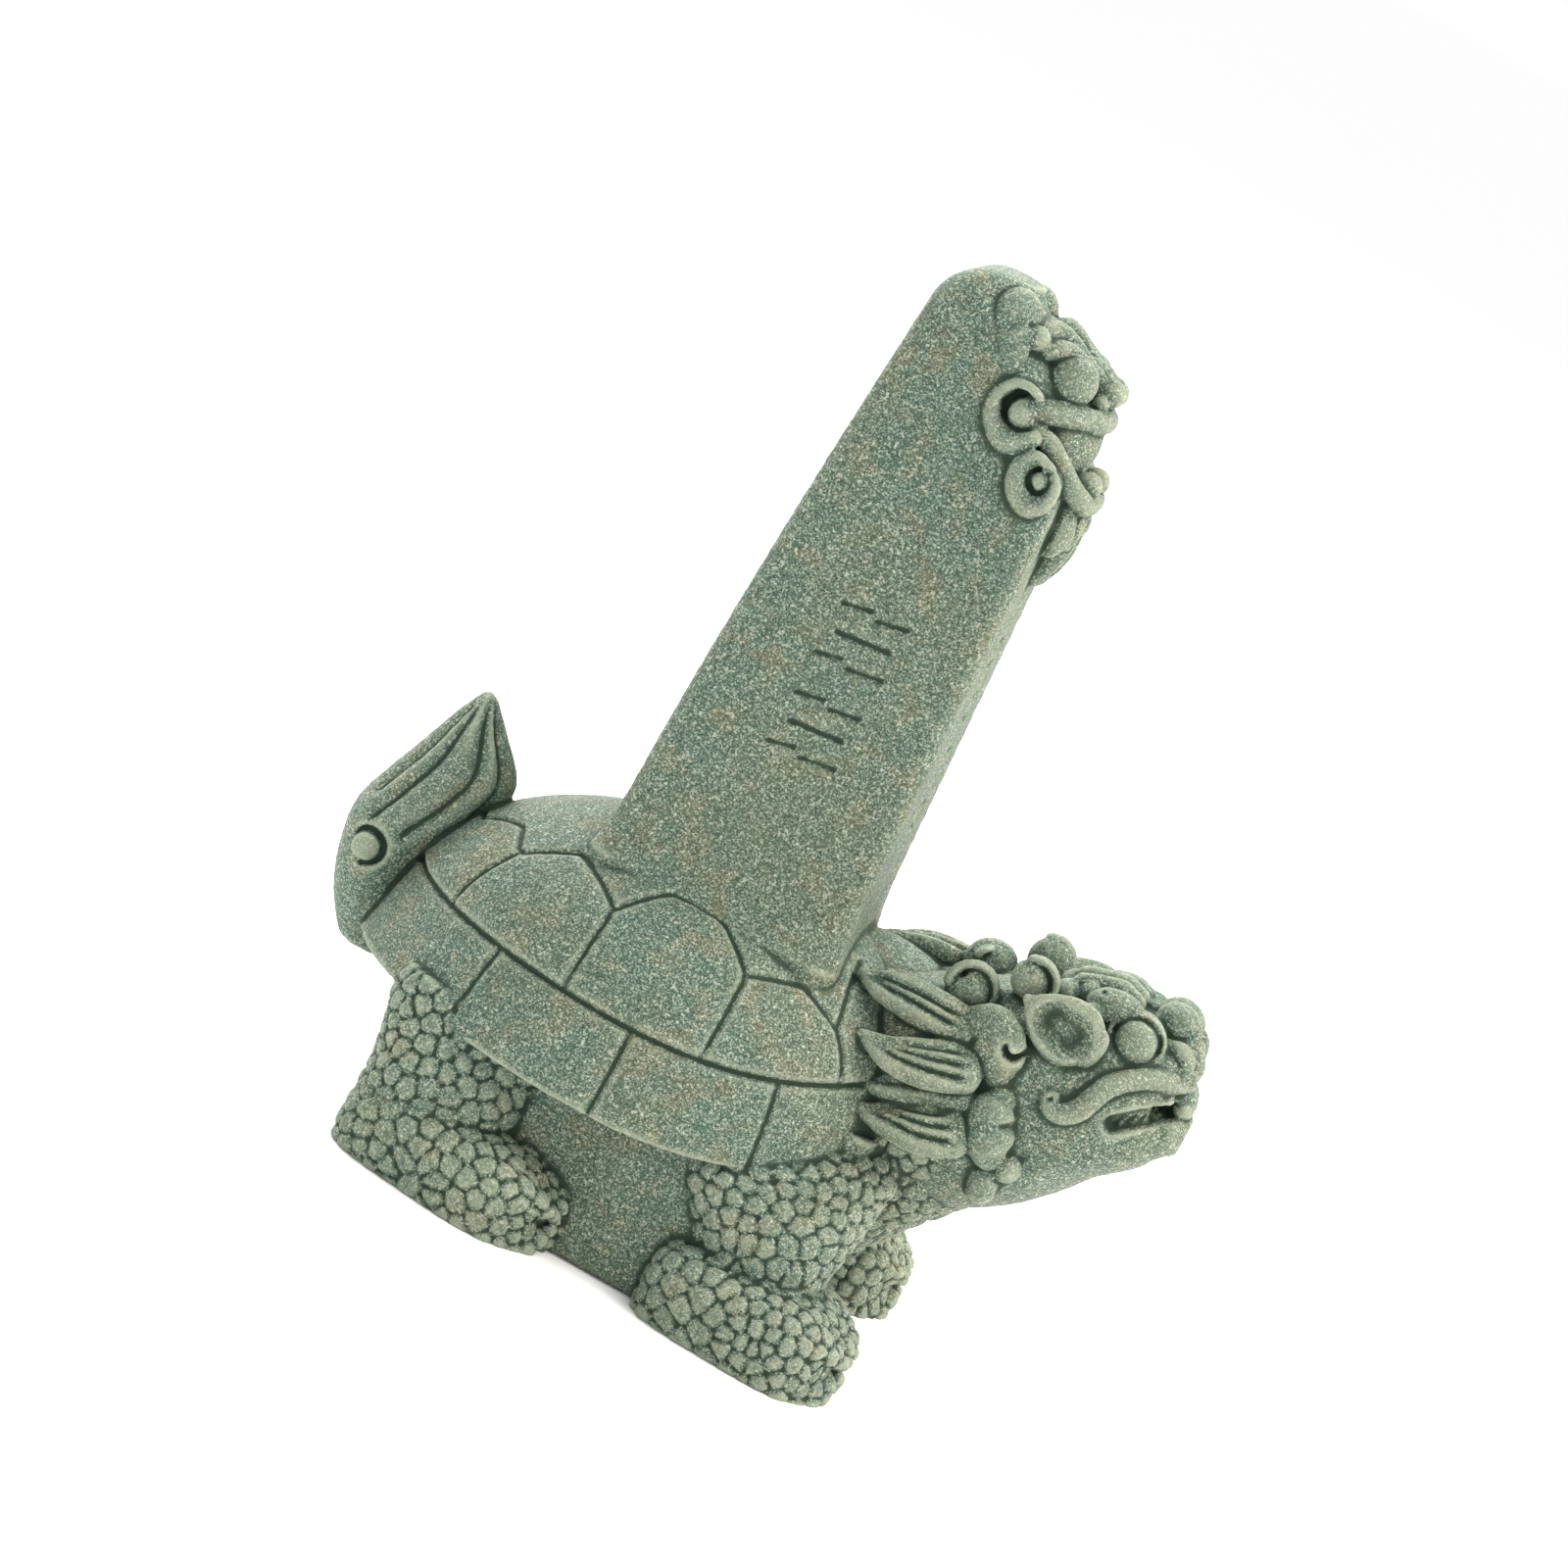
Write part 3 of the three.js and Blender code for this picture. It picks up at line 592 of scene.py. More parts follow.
@dataclass
class Pillar:
    """The tall pillar on the shell: two broad faces, a leaning back and a softly rounded crown."""

    base: tuple[float, float, float, float] = (43.0, -20.5, 7.0, 12.6)
    head: tuple[float, float, float, float] = (104.0, -16.9, 4.3, 10.0)
    top: float = 109.5
    edge: float = 1.5
    top_round: float = 5.0
    flare: float = 2.6
    face_from: float = 90.0
    face_to: float = 97.0
    face_round: float = 8.0
    brow: float = 10.4
    stroke_half: float = 0.34
    stroke_depth: float = 0.5

    def sizes(self, z: Array) -> tuple[Array, Array, Array]:
        """Back, front and half width at a height; the back leans in by the power 1.5."""
        (low, back, front, half), (high, back_high, front_high, half_high) = self.base, self.head
        part = (z - low) / (high - low)
        lean = np.maximum(part, 0.0) ** 1.5
        flare = self.flare * np.clip((low + 4 - z) / 9, 0.0, 1.0) ** 3
        return (
            back + (back_high - back) * lean - 0.3 * flare,
            front + (front_high - front) * part + 0.3 * flare,
            half + (half_high - half) * part + flare,
        )

    def outline(self, z: float, sides: int) -> Array:
        """The pillar's section at a height: a rectangle with elliptic corners, rounder in front at the mask.

        Args:
            z: the height.
            sides: points round the section.

        Returns:
            The points.
        """
        back, front, half = (float(value) for value in self.sizes(np.array(z)))
        shoulder = self.top - self.top_round
        high = min(max((z - shoulder) / self.top_round, 0.0), 1.0)
        inset = self.top_round * (1 - math.sqrt(1 - high * high))
        face = float(smooth(np.array(z), self.face_from, self.face_to))
        brow = self.brow * float(smooth(np.array(z), self.face_to + 3, self.top)) + 1.2 * face
        edge = self.edge + 2 * float(smooth(np.array(self.base[0] - z), 0, 8))
        depth = front - brow - back - inset
        wide = edge + (half - inset - 1 - edge) * face
        long = edge + (min(self.face_round, depth - edge) - edge) * face
        corners = (
            (front - brow - long, half - inset - wide, long, wide),
            (back + inset + edge, half - inset - edge, edge, edge),
            (back + inset + edge, -half + inset + edge, edge, edge),
            (front - brow - long, -half + inset + wide, long, wide),
        )
        bend = np.linspace(0.0, np.pi / 2, 12)
        rim = np.concatenate(
            [
                np.stack((x + a * np.cos(bend + quarter * np.pi / 2), y + b * np.sin(bend + quarter * np.pi / 2)), -1)
                for quarter, (x, y, a, b) in enumerate(corners)
            ]
        )
        return np.column_stack((even_steps(rim, sides, ring=True), np.full(sides, z)))

    def strokes(self) -> list[Array]:
        """Short slanted strokes in rows where the real one is inscribed, on three faces."""
        side_rows = (((0.02, 0.42), (0.56, 0.98)), ((0.14, 0.9),), ((0.0, 0.36), (0.5, 1.0)))
        column_rows = (((0.1, 0.9),), ((0.0, 0.7),))
        slant = 0.3
        lines = []
        for block in range(2):
            for row, pieces in enumerate(side_rows):
                z = 69.8 - 10.4 * block + 5.8 * (0.5 - row / 2)
                for start, end in pieces:
                    u = np.linspace(start - 0.5, end - 0.5, 5) * 7.4
                    height = z + slant * np.linspace(-1, 1, 5)
                    near = np.stack((-6.2 + u, -self.sizes(height)[2], height), -1)
                    lines += [near, near * (1.0, -1.0, 1.0)]
        for block in range(4):
            for row, pieces in enumerate(column_rows):
                z = 73.4 - 6.4 * block + 2.6 * (0.5 - row)
                for start, end in pieces:
                    v = np.linspace(start - 0.5, end - 0.5, 5) * 5.6
                    height = z + slant * np.linspace(-1, 1, 5)
                    lines.append(np.stack((self.sizes(height)[1], v, height), -1))
        return lines

    def forms(self) -> list[Skin]:
        """The pillar's skin with its strokes."""
        shoulder = self.top - self.top_round
        tilt = np.radians(np.linspace(6, 88, 22))
        levels = np.concatenate((np.linspace(34, shoulder, 230), shoulder + self.top_round * np.sin(tilt)))
        rings = np.array([self.outline(float(z), 300) for z in levels])
        gap = np.min([gap_to(rings, line) for line in self.strokes()], axis=0)
        rings = raised(rings, -groove(gap, self.stroke_half, self.stroke_depth))
        return [closed(press(rings, Mask.crescent, 1.6, 0.35, 8.0))]


# Belly, legs and chest


@dataclass
class Belly:
    """The smooth block under the shell: a broad middle between the legs and a keel between the feet."""

    round: float = 2.5
    middle: tuple[float, float, float, float] = (-15.5, 12.0, 23.2, 19.0)
    keel: tuple[float, float, float, float] = (-25.0, 20.0, 16.0, 25.0)
    taper: float = 1.2

    def block(self, sizes: tuple[float, float, float, float], taper: float) -> Skin:
        """A block with rounded edges.

        Args:
            sizes: back, front, half width and top.
            taper: how much narrower it is at the top.

        Returns:
            Its skin.
        """
        back, front, half, top = sizes
        bend = np.linspace(0.0, np.pi / 2, 8)
        rings = []
        for z in np.concatenate(([0.0, 0.25, 0.7, 1.2], np.linspace(2, top, 20))):
            inset = taper * z / top + 0.9 * max(0.0, 1 - z / 1.2) ** 2
            corners = (
                (front - inset - self.round, half - inset - self.round),
                (back + inset + self.round, half - inset - self.round),
                (back + inset + self.round, -half + inset + self.round),
                (front - inset - self.round, -half + inset + self.round),
            )
            rings.append(
                [
                    (x + self.round * math.cos(b + quarter * math.pi / 2), y + self.round * math.sin(b + quarter * math.pi / 2), z)
                    for quarter, (x, y) in enumerate(corners)
                    for b in bend
                ]
            )
        return closed(np.array(rings))

    def forms(self) -> list[Skin]:
        """The two blocks."""
        return [self.block(self.middle, self.taper), self.block(self.keel, 0.0)]


@dataclass
class Foot:
    """A low loaf of a foot with three toes, covered in scales.

    The loaf is squarish: reach, width and height follow powers of the sine and cosine of the way along it.
    """

    x: float
    y: float
    turn: float
    length: float = 22.8
    width: float = 19.5
    height: float = 9.1
    toe_notch: float = 1.5
    toes: int = 3
    heel_square: float = 0.5
    toe_square: float = 0.62

    def forms(self, scales: Scales, seed: int) -> list[Skin]:
        """The foot's skin.

        Args:
            scales: the scales to raise on it.
            seed: start of the random choice.

        Returns:
            The skin.
        """
        swing = np.pi * np.linspace(0.005, 0.995, 2000)
        square = np.where(np.cos(swing) > 0, self.heel_square, self.toe_square)
        side = np.stack((-signed(np.cos(swing), square) * self.length, signed(np.sin(swing), square) * self.width), -1)
        reach, size = (column[:, None] for column in (even_steps(side, 130) / (self.length, self.width)).T)
        u = np.linspace(0, 1, 400, endpoint=False)[None]
        round_ = 2 * u - 1
        angle = np.pi * (0.5 + 0.72 * round_ + 0.28 * round_**3)
        across, rise = signed(np.cos(angle), 0.6), signed(np.sin(angle), 0.7)
        front = smooth(reach, 0.45, 1.0)
        wave = np.abs(np.cos(np.pi * self.toes * (across + 1) / 2 - np.pi / 2))
        notch = self.toe_notch * front * (1 - wave)
        x = self.length / 2 * reach - notch
        y = self.width / 2 * across * size
        lift = np.where(rise > 0, 0.6 - 0.16 * front, 0.9)
        z = np.maximum(self.height * (0.4 + lift * rise * size), -0.4)
        turn = math.radians(self.turn)
        rings = np.stack(
            (self.x + x * math.cos(turn) - y * math.sin(turn), self.y + x * math.sin(turn) + y * math.cos(turn), z), -1
        )
        rings = np.array([even_steps(ring, 260, ring=True) for ring in rings])
        return [closed(scales.on(rings, seed))]


@dataclass
class Leg:
    """A leg: squarish sections stacked from rows of height, back, front, inner and outer side."""

    rows: Rows

    def forms(self, scales: Scales, seed: int) -> list[Skin]:
        """The leg's skin.

        Args:
            scales: the scales to raise on it.
            seed: start of the random choice.

        Returns:
            The skin.
        """
        table = spline(self.rows, 90)
        z, back, front, inner, outer = (table[:, [column]] for column in range(5))
        angle = np.linspace(0.0, 2 * np.pi, 260, endpoint=False)[None]
        x = (back + front) / 2 + (front - back) / 2 * signed(np.cos(angle), 0.8)
        y = -(inner + outer) / 2 + (outer - inner) / 2 * signed(np.sin(angle), 0.8)
        rings = np.stack((x, y, z * np.ones_like(angle)), -1)
        return [closed(scales.on(rings, seed))]


@dataclass
class Chest:
    """The scaly chest that leans forward between the front legs under the jaw."""

    start: tuple[float, float, float] = (11.5, 0.0, 9.5)
    end: tuple[float, float, float] = (25.5, 0.0, 27.0)
    half: tuple[float, float] = (13.0, 11.0)
    deep: float = 8.2

    def forms(self, scales: Scales, seed: int) -> list[Skin]:
        """The chest's skin: an ellipse carried along its leaning axis.

        Args:
            scales: the scales to raise on it.
            seed: start of the random choice.

        Returns:
            The skin.
        """
        start, end = np.array(self.start), np.array(self.end)
        lean = unit(end - start)
        part = np.linspace(0.02, 0.98, 110)[:, None]
        angle = np.linspace(0.0, 2 * np.pi, 280, endpoint=False)[None]
        across = (self.half[0] + (self.half[1] - self.half[0]) * part) * np.cos(angle)
        deep = self.deep * np.sin(angle) * np.ones_like(part)
        centre = start + (end - start) * part[..., None]
        rings = centre + across[..., None] * np.array((0.0, 1.0, 0.0)) + deep[..., None] * np.array((-lean[2], 0.0, lean[0]))
        return [closed(scales.on(rings, seed))]


# Head


@dataclass
class Head:
    """Neck, skull, jaw and the features of the dragon's face."""

    skull: Rows = (
        (13, 0, 26, 13, 11.2),
        (24, 0, 30.6, 12.8, 12),
        (31, 0, 35.2, 12.2, 11.5),
        (38, 0, 39.8, 10.6, 8.8),
        (42.4, 0, 41.9, 7.7, 6.3),
        (44.0, 0, 41.5, 3.6, 3),
    )
    jaw: Rows = (
        (26.5, 0, 26, 8, 3),
        (32, 0, 28.6, 11.4, 5.2),
        (37.6, 0, 33.4, 10.6, 4.8),
        (42.6, 0, 36.9, 8.2, 4.2),
        (45.3, 0, 38.2, 5.6, 2.9),
    )
    mouth: Rows = ((40.2, 37.9, 0.95), (42.4, 39.4, 1.05), (44.8, 40.8, 0.9), (46.3, 41.5, 0.35))
    first_curl: tuple[float, float, float] = (20.6, -6.4, 42.85)
    second_curl: tuple[float, float, float] = (25.8, -6.4, 46.5)
    eye: tuple[float, float, float] = (38.15, -7.7, 46.25)

    def skull_forms(self) -> list[Skin]:
        """Skull, jaw, crown and the neck under the mane, with the mouth's slot and the eye sockets sunk in."""
        parts = [
            tube(self.skull, Facing.UP, sides=240, count=150, square=0.8),
            tube(self.jaw, (-0.6, 0.0, 0.8), sides=200, count=110),
            egg((34.4, 0, 41.6), (9, 9.2, 6.4), 14, 120, 180),
        ]
        slots = [(self.mouth, 2.0, 0.25)]
        slots += [
            (((x - 0.3, z - 0.5, 0.2), (x + 0.3, z + 0.5, 0.2)), 0.6, 0.5)
            for x, z in ((40.5, 38.1), (41.6, 38.8), (42.7, 39.5), (43.8, 40.2), (44.8, 40.8))
        ]
        forms = []
        for rings in parts:
            for line, depth, soft in slots:
                rings = press(rings, line, depth, soft, 1.5)
            forms.append(closed(rings))
        mantle = (
            (12.5, 0, 28.6, 9, 10.8),
            (17.5, 0, 29.5, 13.4, 10.9),
            (21, 0, 30.3, 13.8, 11.2),
            (25, 0, 31.6, 12.8, 10.8),
            (29, 0, 33, 11, 9.4),
        )
        smooth_neck = tube(mantle, Facing.UP, sides=280, count=130, square=0.72)
        scaly_neck = Scales().on(smooth_neck, 6)
        neck = smooth_neck + (scaly_neck - smooth_neck) * smooth(27.5 - smooth_neck[..., 2:], 0.0, 1.5)
        foot_fill = egg((11.5, 4.5, 37.9), (7.5, 8.0, 3.0))
        return [*forms, closed(neck), closed(foot_fill)]

    def eye_forms(self) -> list[Skin]:
        """Eyeball, and the mound round it with a groove as its lids, on the near side."""
        x, _, z = self.eye
        mound = egg((x - 0.3, -5.9, z - 0.35), (3.55, 2.95, 3.45), 0, 110, 150)
        ball = egg(self.eye, (2.3, 2.05, 2.15), -37, 60, 80)
        return [closed(ball), closed(press(mound, loop((x, z), (2.5, 2.4), 0.3), 1.25, 0.4))]

    def brow_forms(self) -> list[Skin]:
        """Brow roll, nose ball, nostril wing and the lumps of the crown, on the near side."""
        fold = (
            (30.2, -2.2, 48.0, 1.0),
            (32.4, -1.9, 48.7, 1.1),
            (34.3, -1.8, 49.2, 1.1),
            (36.2, -2.0, 48.7, 1.05),
        )
        lid = (
            (32.0, -7.6, 46.6, 0.8),
            (33.6, -6.9, 47.2, 1.0),
            (35.6, -6.4, 47.6, 1.0),
            (37.6, -6.2, 48.2, 0.8),
            (39.6, -6.0, 48.0, 0.7),
        )
        wing = (
            (41.4, -4.7, 47.0, 0.8),
            (42.8, -4.7, 47.1, 1.0),
            (43.7, -4.4, 46.2, 1.05),
            (43.6, -4.8, 45.0, 1.0),
            (42.8, -5.4, 44.4, 0.9),
        )
        lobe = press(egg((34.6, -5.4, 47.9), (3.2, 2.4, 2.0), 8, 60, 80), ((32.8, 49.0, 0.24), (32.9, 49.0, 0.24)), 0.8)
        return [
            closed(lobe),
            closed(tube(fold)),
            closed(tube(lid)),
            closed(egg((36.3, -4.4, 47.6), (1.6, 1.6, 1.6))),
            closed(egg((41.2, -1.6, 48.7), (2.75, 2.4, 2.4), -20)),
            closed(egg((43.1, -2.3, 46.6), (2.2, 2.2, 2.5))),
            closed(tube(wing, sides=24)),
            closed(egg((45.9, -1.6, 41.3), (1.2, 2.2, 1.2))),
            closed(egg((29.5, -3.0, 46.3), (1.65, 1.9, 1.65))),
            closed(egg((31.6, -3.0, 47.4), (1.4, 1.7, 1.5))),
            closed(egg((38.0, -3.6, 47.6), (1.3, 1.3, 1.1))),
            closed(egg((39.6, -3.2, 47.4), (1.2, 1.4, 1.1))),
            closed(tube(((37.2, -2.2, 46.1, 1.5), (39.8, -2.0, 46.4, 1.5)), Facing.UP)),
        ]

    def curl_forms(self) -> list[Skin]:
        """The curls behind the eye, on the near side: two rolls on the nape and the comma over the cheek."""
        nape = tube(((17, -5.5, 38.6, 2.0), (22.5, -5.5, 41.2, 2.2), (28.5, -5.5, 43.8, 2.0)))
        x, y, z = self.first_curl
        hollow = ((x - 1.7, z + 0.9, 0.42), (x - 1.4, z + 1.5, 0.4), (x - 0.7, z + 2.0, 0.25))
        first = [
            press(egg((x, y, z), (2.5, 1.9, 2.5), 0, 50, 70), hollow, 1.5),
            press(egg((x + 0.25, y - 0.6, z - 0.45), (1.85, 1.85, 1.85), 0, 50, 70), hollow, 1.2),
            press(egg((x - 0.5, y - 0.5, z - 0.8), (2.1, 2.0, 1.9), 0, 50, 70), hollow, 1.5),
            curl((x, y - 0.8, z), 190, -235, (2.5, 2.5), (0.7, 0.5, 0.42, 0.38, 0.32, 0.25), 0.0, 2.3),
        ]
        x, y, z = self.second_curl
        dimple = ((x - 0.6, z + 1.1, 0.22), (x - 0.5, z + 1.1, 0.22))
        second = [
            egg((x, y, z), (2.4, 1.6, 2.4)),
            press(egg((x - 0.4, y - 0.6, z), (2.0, 2.0, 2.05), 0, 60, 80), dimple, 0.5),
            curl((x, y - 0.8, z), 120, -150, (2.45, 2.5), (0.4, 0.42, 0.4, 0.36, 0.3), 0.0, 2.3),
        ]
        comma = tube(
            (
                (21.6, -10.2, 39.4, 1.5, 1.2),
                (23.4, -11.2, 40.5, 2.4, 1.8),
                (25.0, -11.9, 40.9, 2.75, 2.1),
                (26.4, -12.2, 39.5, 2.8, 2.2),
                (27.0, -12.2, 37.9, 2.2, 1.9),
                (27.4, -12.0, 36.9, 1.5, 1.3),
            ),
            sides=90,
            count=110,
        )
        hook = (
            (26.6, 41.0, 0.12),
            (26.8, 40.3, 0.26),
            (27.3, 39.8, 0.34),
            (28.0, 39.7, 0.36),
            (28.7, 40.4, 0.32),
            (29.2, 41.6, 0.3),
        )
        return [
            closed(nape),
            *(closed(rings) for rings in first + second),
            closed(press(comma, hook, 1.9, 0.35, 9.0)),
        ]

    def ear_forms(self) -> list[Skin]:
        """The leaf-shaped ear with a shallow cup, on the near side."""
        rows = (
            (26.4, -11.6, 45.6, 0.6, 0.6),
            (28.0, -11.5, 45.2, 2.3, 1.4),
            (30.4, -11.2, 44.7, 3.5, 1.9),
            (32.9, -10.9, 44.4, 3.5, 1.9),
            (34.6, -10.6, 44.1, 2.3, 1.3),
        )
        cup = ((30.0, 44.9, 1.8), (31.9, 44.4, 2.0))
        return [closed(press(tube(rows, sides=110, count=110), cup, 2.0, 0.65, 9.0))]

    def whisker_forms(self) -> list[Skin]:
        """The whisker that rolls from the nose over the lip to a knob, on the near side."""
        rows = (
            (44.9, -2.6, 44.0, 1.05),
            (43.6, -5.2, 43.95, 1.15),
            (41.6, -7.7, 43.8, 1.15),
            (39.6, -9.4, 42.9, 1.15),
            (38.0, -10.6, 41.5, 1.2),
            (37.2, -11.2, 39.9, 1.2),
            (36.5, -11.5, 38.1, 1.25),
            (35.3, -11.7, 36.9, 1.2),
            (33.9, -11.7, 36.75, 1.1),
            (33.35, -11.6, 37.5, 1.0),
        )
        hole = ((33.3, 37.6, 0.25), (33.4, 37.7, 0.25))
        lip = ((39.3, -8.3, 39.5, 0.5), (41.6, -7.3, 41.0, 0.55), (44.2, -4.8, 42.0, 0.5))
        return [closed(press(tube(rows, count=170, sides=44), hole, 0.8, 0.4, 9.0)), closed(tube(lip))]

    def cheek_forms(self) -> list[Skin]:
        """The two-lobed bean under the comma, the curl at the throat and the tooth bar, on the near side."""
        bean = tube(
            (
                (28.8, -12.2, 34.7, 1.8),
                (28.8, -12.7, 33.7, 2.45),
                (29.0, -12.9, 32.3, 2.5),
                (29.7, -12.8, 30.8, 2.8),
                (30.4, -12.3, 29.6, 1.9),
            ),
            sides=70,
            count=90,
        )
        notch = ((32.6, 34.0, 0.6), (31.2, 33.4, 0.45), (30.4, 33.1, 0.25))
        throat = tube(((32.0, -11.0, 28.1, 1.4), (31.3, -10.9, 26.8, 1.7), (31.5, -10.3, 25.2, 1.6)))
        slit = ((32.4, 27.2, 0.2), (33.2, 26.8, 0.35), (34.2, 27.3, 0.3))
        return [
            closed(press(bean, notch, 0.9, 0.7, 9.0)),
            closed(egg((32.8, -11.3, 28.8), (1.6, 1.7, 1.6))),
            closed(press(throat, slit, 1.2, 0.4, 6.0)),
        ]

    def lock_forms(self) -> list[Skin]:
        """Leaf-shaped locks of the mane that lie back over the shell, with lengthwise grooves."""
        out = (0.1, -0.75, 0.65)
        upper = (
            (9.9, -8.8, 38.7, 0.6, 0.7),
            (13.0, -10.4, 39.2, 2.0, 1.4),
            (17.4, -11.0, 39.5, 2.5, 1.8),
            (22.5, -11.2, 39.6, 2.2, 1.7),
        )
        middle = (
            (13.2, -13.6, 34.2, 0.6, 0.8),
            (16.8, -14.7, 34.3, 2.1, 1.3),
            (20.0, -14.6, 34.9, 2.75, 1.7),
            (22.4, -14.1, 35.7, 2.9, 1.8),
            (24.4, -13.4, 36.3, 2.6, 1.7),
        )
        lower = (
            (16.5, -14.2, 27.3, 0.6, 0.9),
            (19.6, -14.7, 28.0, 2.0, 1.6),
            (23.2, -15.0, 28.9, 2.9, 1.8),
            (26.3, -13.7, 30.1, 3.0, 1.8),
        )
        between = ((15.2, -13.2, 29.4, 0.6, 0.8), (19.6, -13.5, 31.2, 1.6, 1.4), (25.3, -12.8, 33.5, 1.8, 1.4))
        far = ((9.2, 8, 40.2, 0.5, 0.5), (13.3, 8.6, 41.0, 2.4, 1.7), (18, 9.2, 41.2, 2.9, 1.9), (22, 9.6, 41.2, 2.2, 1.7))
        strong = ((-0.3, -0.05, 0.45, 0.95), (0.2, 0.5, 0.45, 0.95))
        fine = ((0.2, 0.66, 0.4, 0.9), (-0.25, 0.14, 0.42, 0.75), (-0.6, -0.4, 0.45, 0.6))

        def leaf(rows: Rows, cuts: Rows, facing: Facing | Sequence[float] = out) -> Skin:
            """One lock."""
            return closed(tube(rows, facing, sides=150, count=130, cuts=cuts))

        pairs = [leaf(middle, fine), leaf(lower, fine), leaf(between, ((-0.2, 0.2, 0.4, 0.5),))]
        return [leaf(upper, strong), *both(pairs), leaf(far, strong, Facing.UP)]

    def forms(self) -> list[Skin]:
        """All of the head's skins."""
        near = (
            self.eye_forms() + self.brow_forms() + self.curl_forms() + self.ear_forms() + self.whisker_forms() + self.cheek_forms()
        )
        return [*self.skull_forms(), *both(near), *self.lock_forms()]


# Tail


@dataclass
class Tail:
    """The tail: a bud that leans on the shell, fluted from its tip, with a boss on each side."""

    rows: Rows = (
        (13.2, -39.3, 3.5, 4.6),
        (15.2, -39.9, 4.3, 5.6),
        (18.4, -41.0, 4.8, 7.4),
        (22.5, -42.0, 4.9, 9),
        (27, -41.7, 5.6, 9.2),
        (31.5, -39.7, 6.1, 8),
        (36, -38.3, 5.6, 6.1),
        (40.8, -39.1, 3, 3.6),
        (43.4, -39.6, 1.3, 1.5),
        (44.2, -39.7, 0.5, 0.6),
    )
    flutes: tuple[float, ...] = (30.0, 68.0, 117.0, 147.0)
    flute_depth: float = 1.25
    boss: tuple[float, float, float] = (-42.8, -8.9, 24.5)

    def ring(self) -> Rows:
        """The dark crescent round the boss, widest above it and towards the shell."""
        x, _, z = self.boss
        part = np.linspace(0.0, 1.0, 12)
        angle = np.radians(170 - 260 * part)
        return np.stack((x + 1.85 * np.cos(angle), z + 1.85 * np.sin(angle), 0.12 + 0.34 * np.sin(np.pi * part)), -1)

    def forms(self) -> list[Skin]:
        """The tail's skins: an elliptic section stacked up, with V grooves at its flutes."""
        table = spline(self.rows, 150)
        z, x, deep, half = (table[:, [column]] for column in range(4))
        angle = np.linspace(0.0, 2 * np.pi, 260, endpoint=False)[None]
        rings = np.stack((x + deep * np.cos(angle), half * np.sin(angle), z * np.ones_like(angle)), -1)
        turn = np.degrees(np.abs(np.angle(np.exp(1j * angle))))
        gap = np.min([np.abs(turn - flute) for flute in self.flutes], axis=0)
        reach = np.radians(gap) * np.hypot(deep, half) * 0.7
        low = 27.5 + 2.2 * np.cos(np.radians(turn) * 2)
        fade = smooth(z * np.ones_like(angle), 0, 1) * smooth(z - low, 0.0, 2.2) * (1 - 0.5 * smooth(z, 41, 44))
        height = -self.flute_depth * fade * np.exp(-reach / 0.9)
        rings = raised(rings, height)
        rings = press(rings, self.ring(), 1.2, 0.5, 4.0)
        boss = egg(self.boss, (1.5, 1.4, 1.5))
        return [closed(rings), *both([closed(boss)])]


# Mask


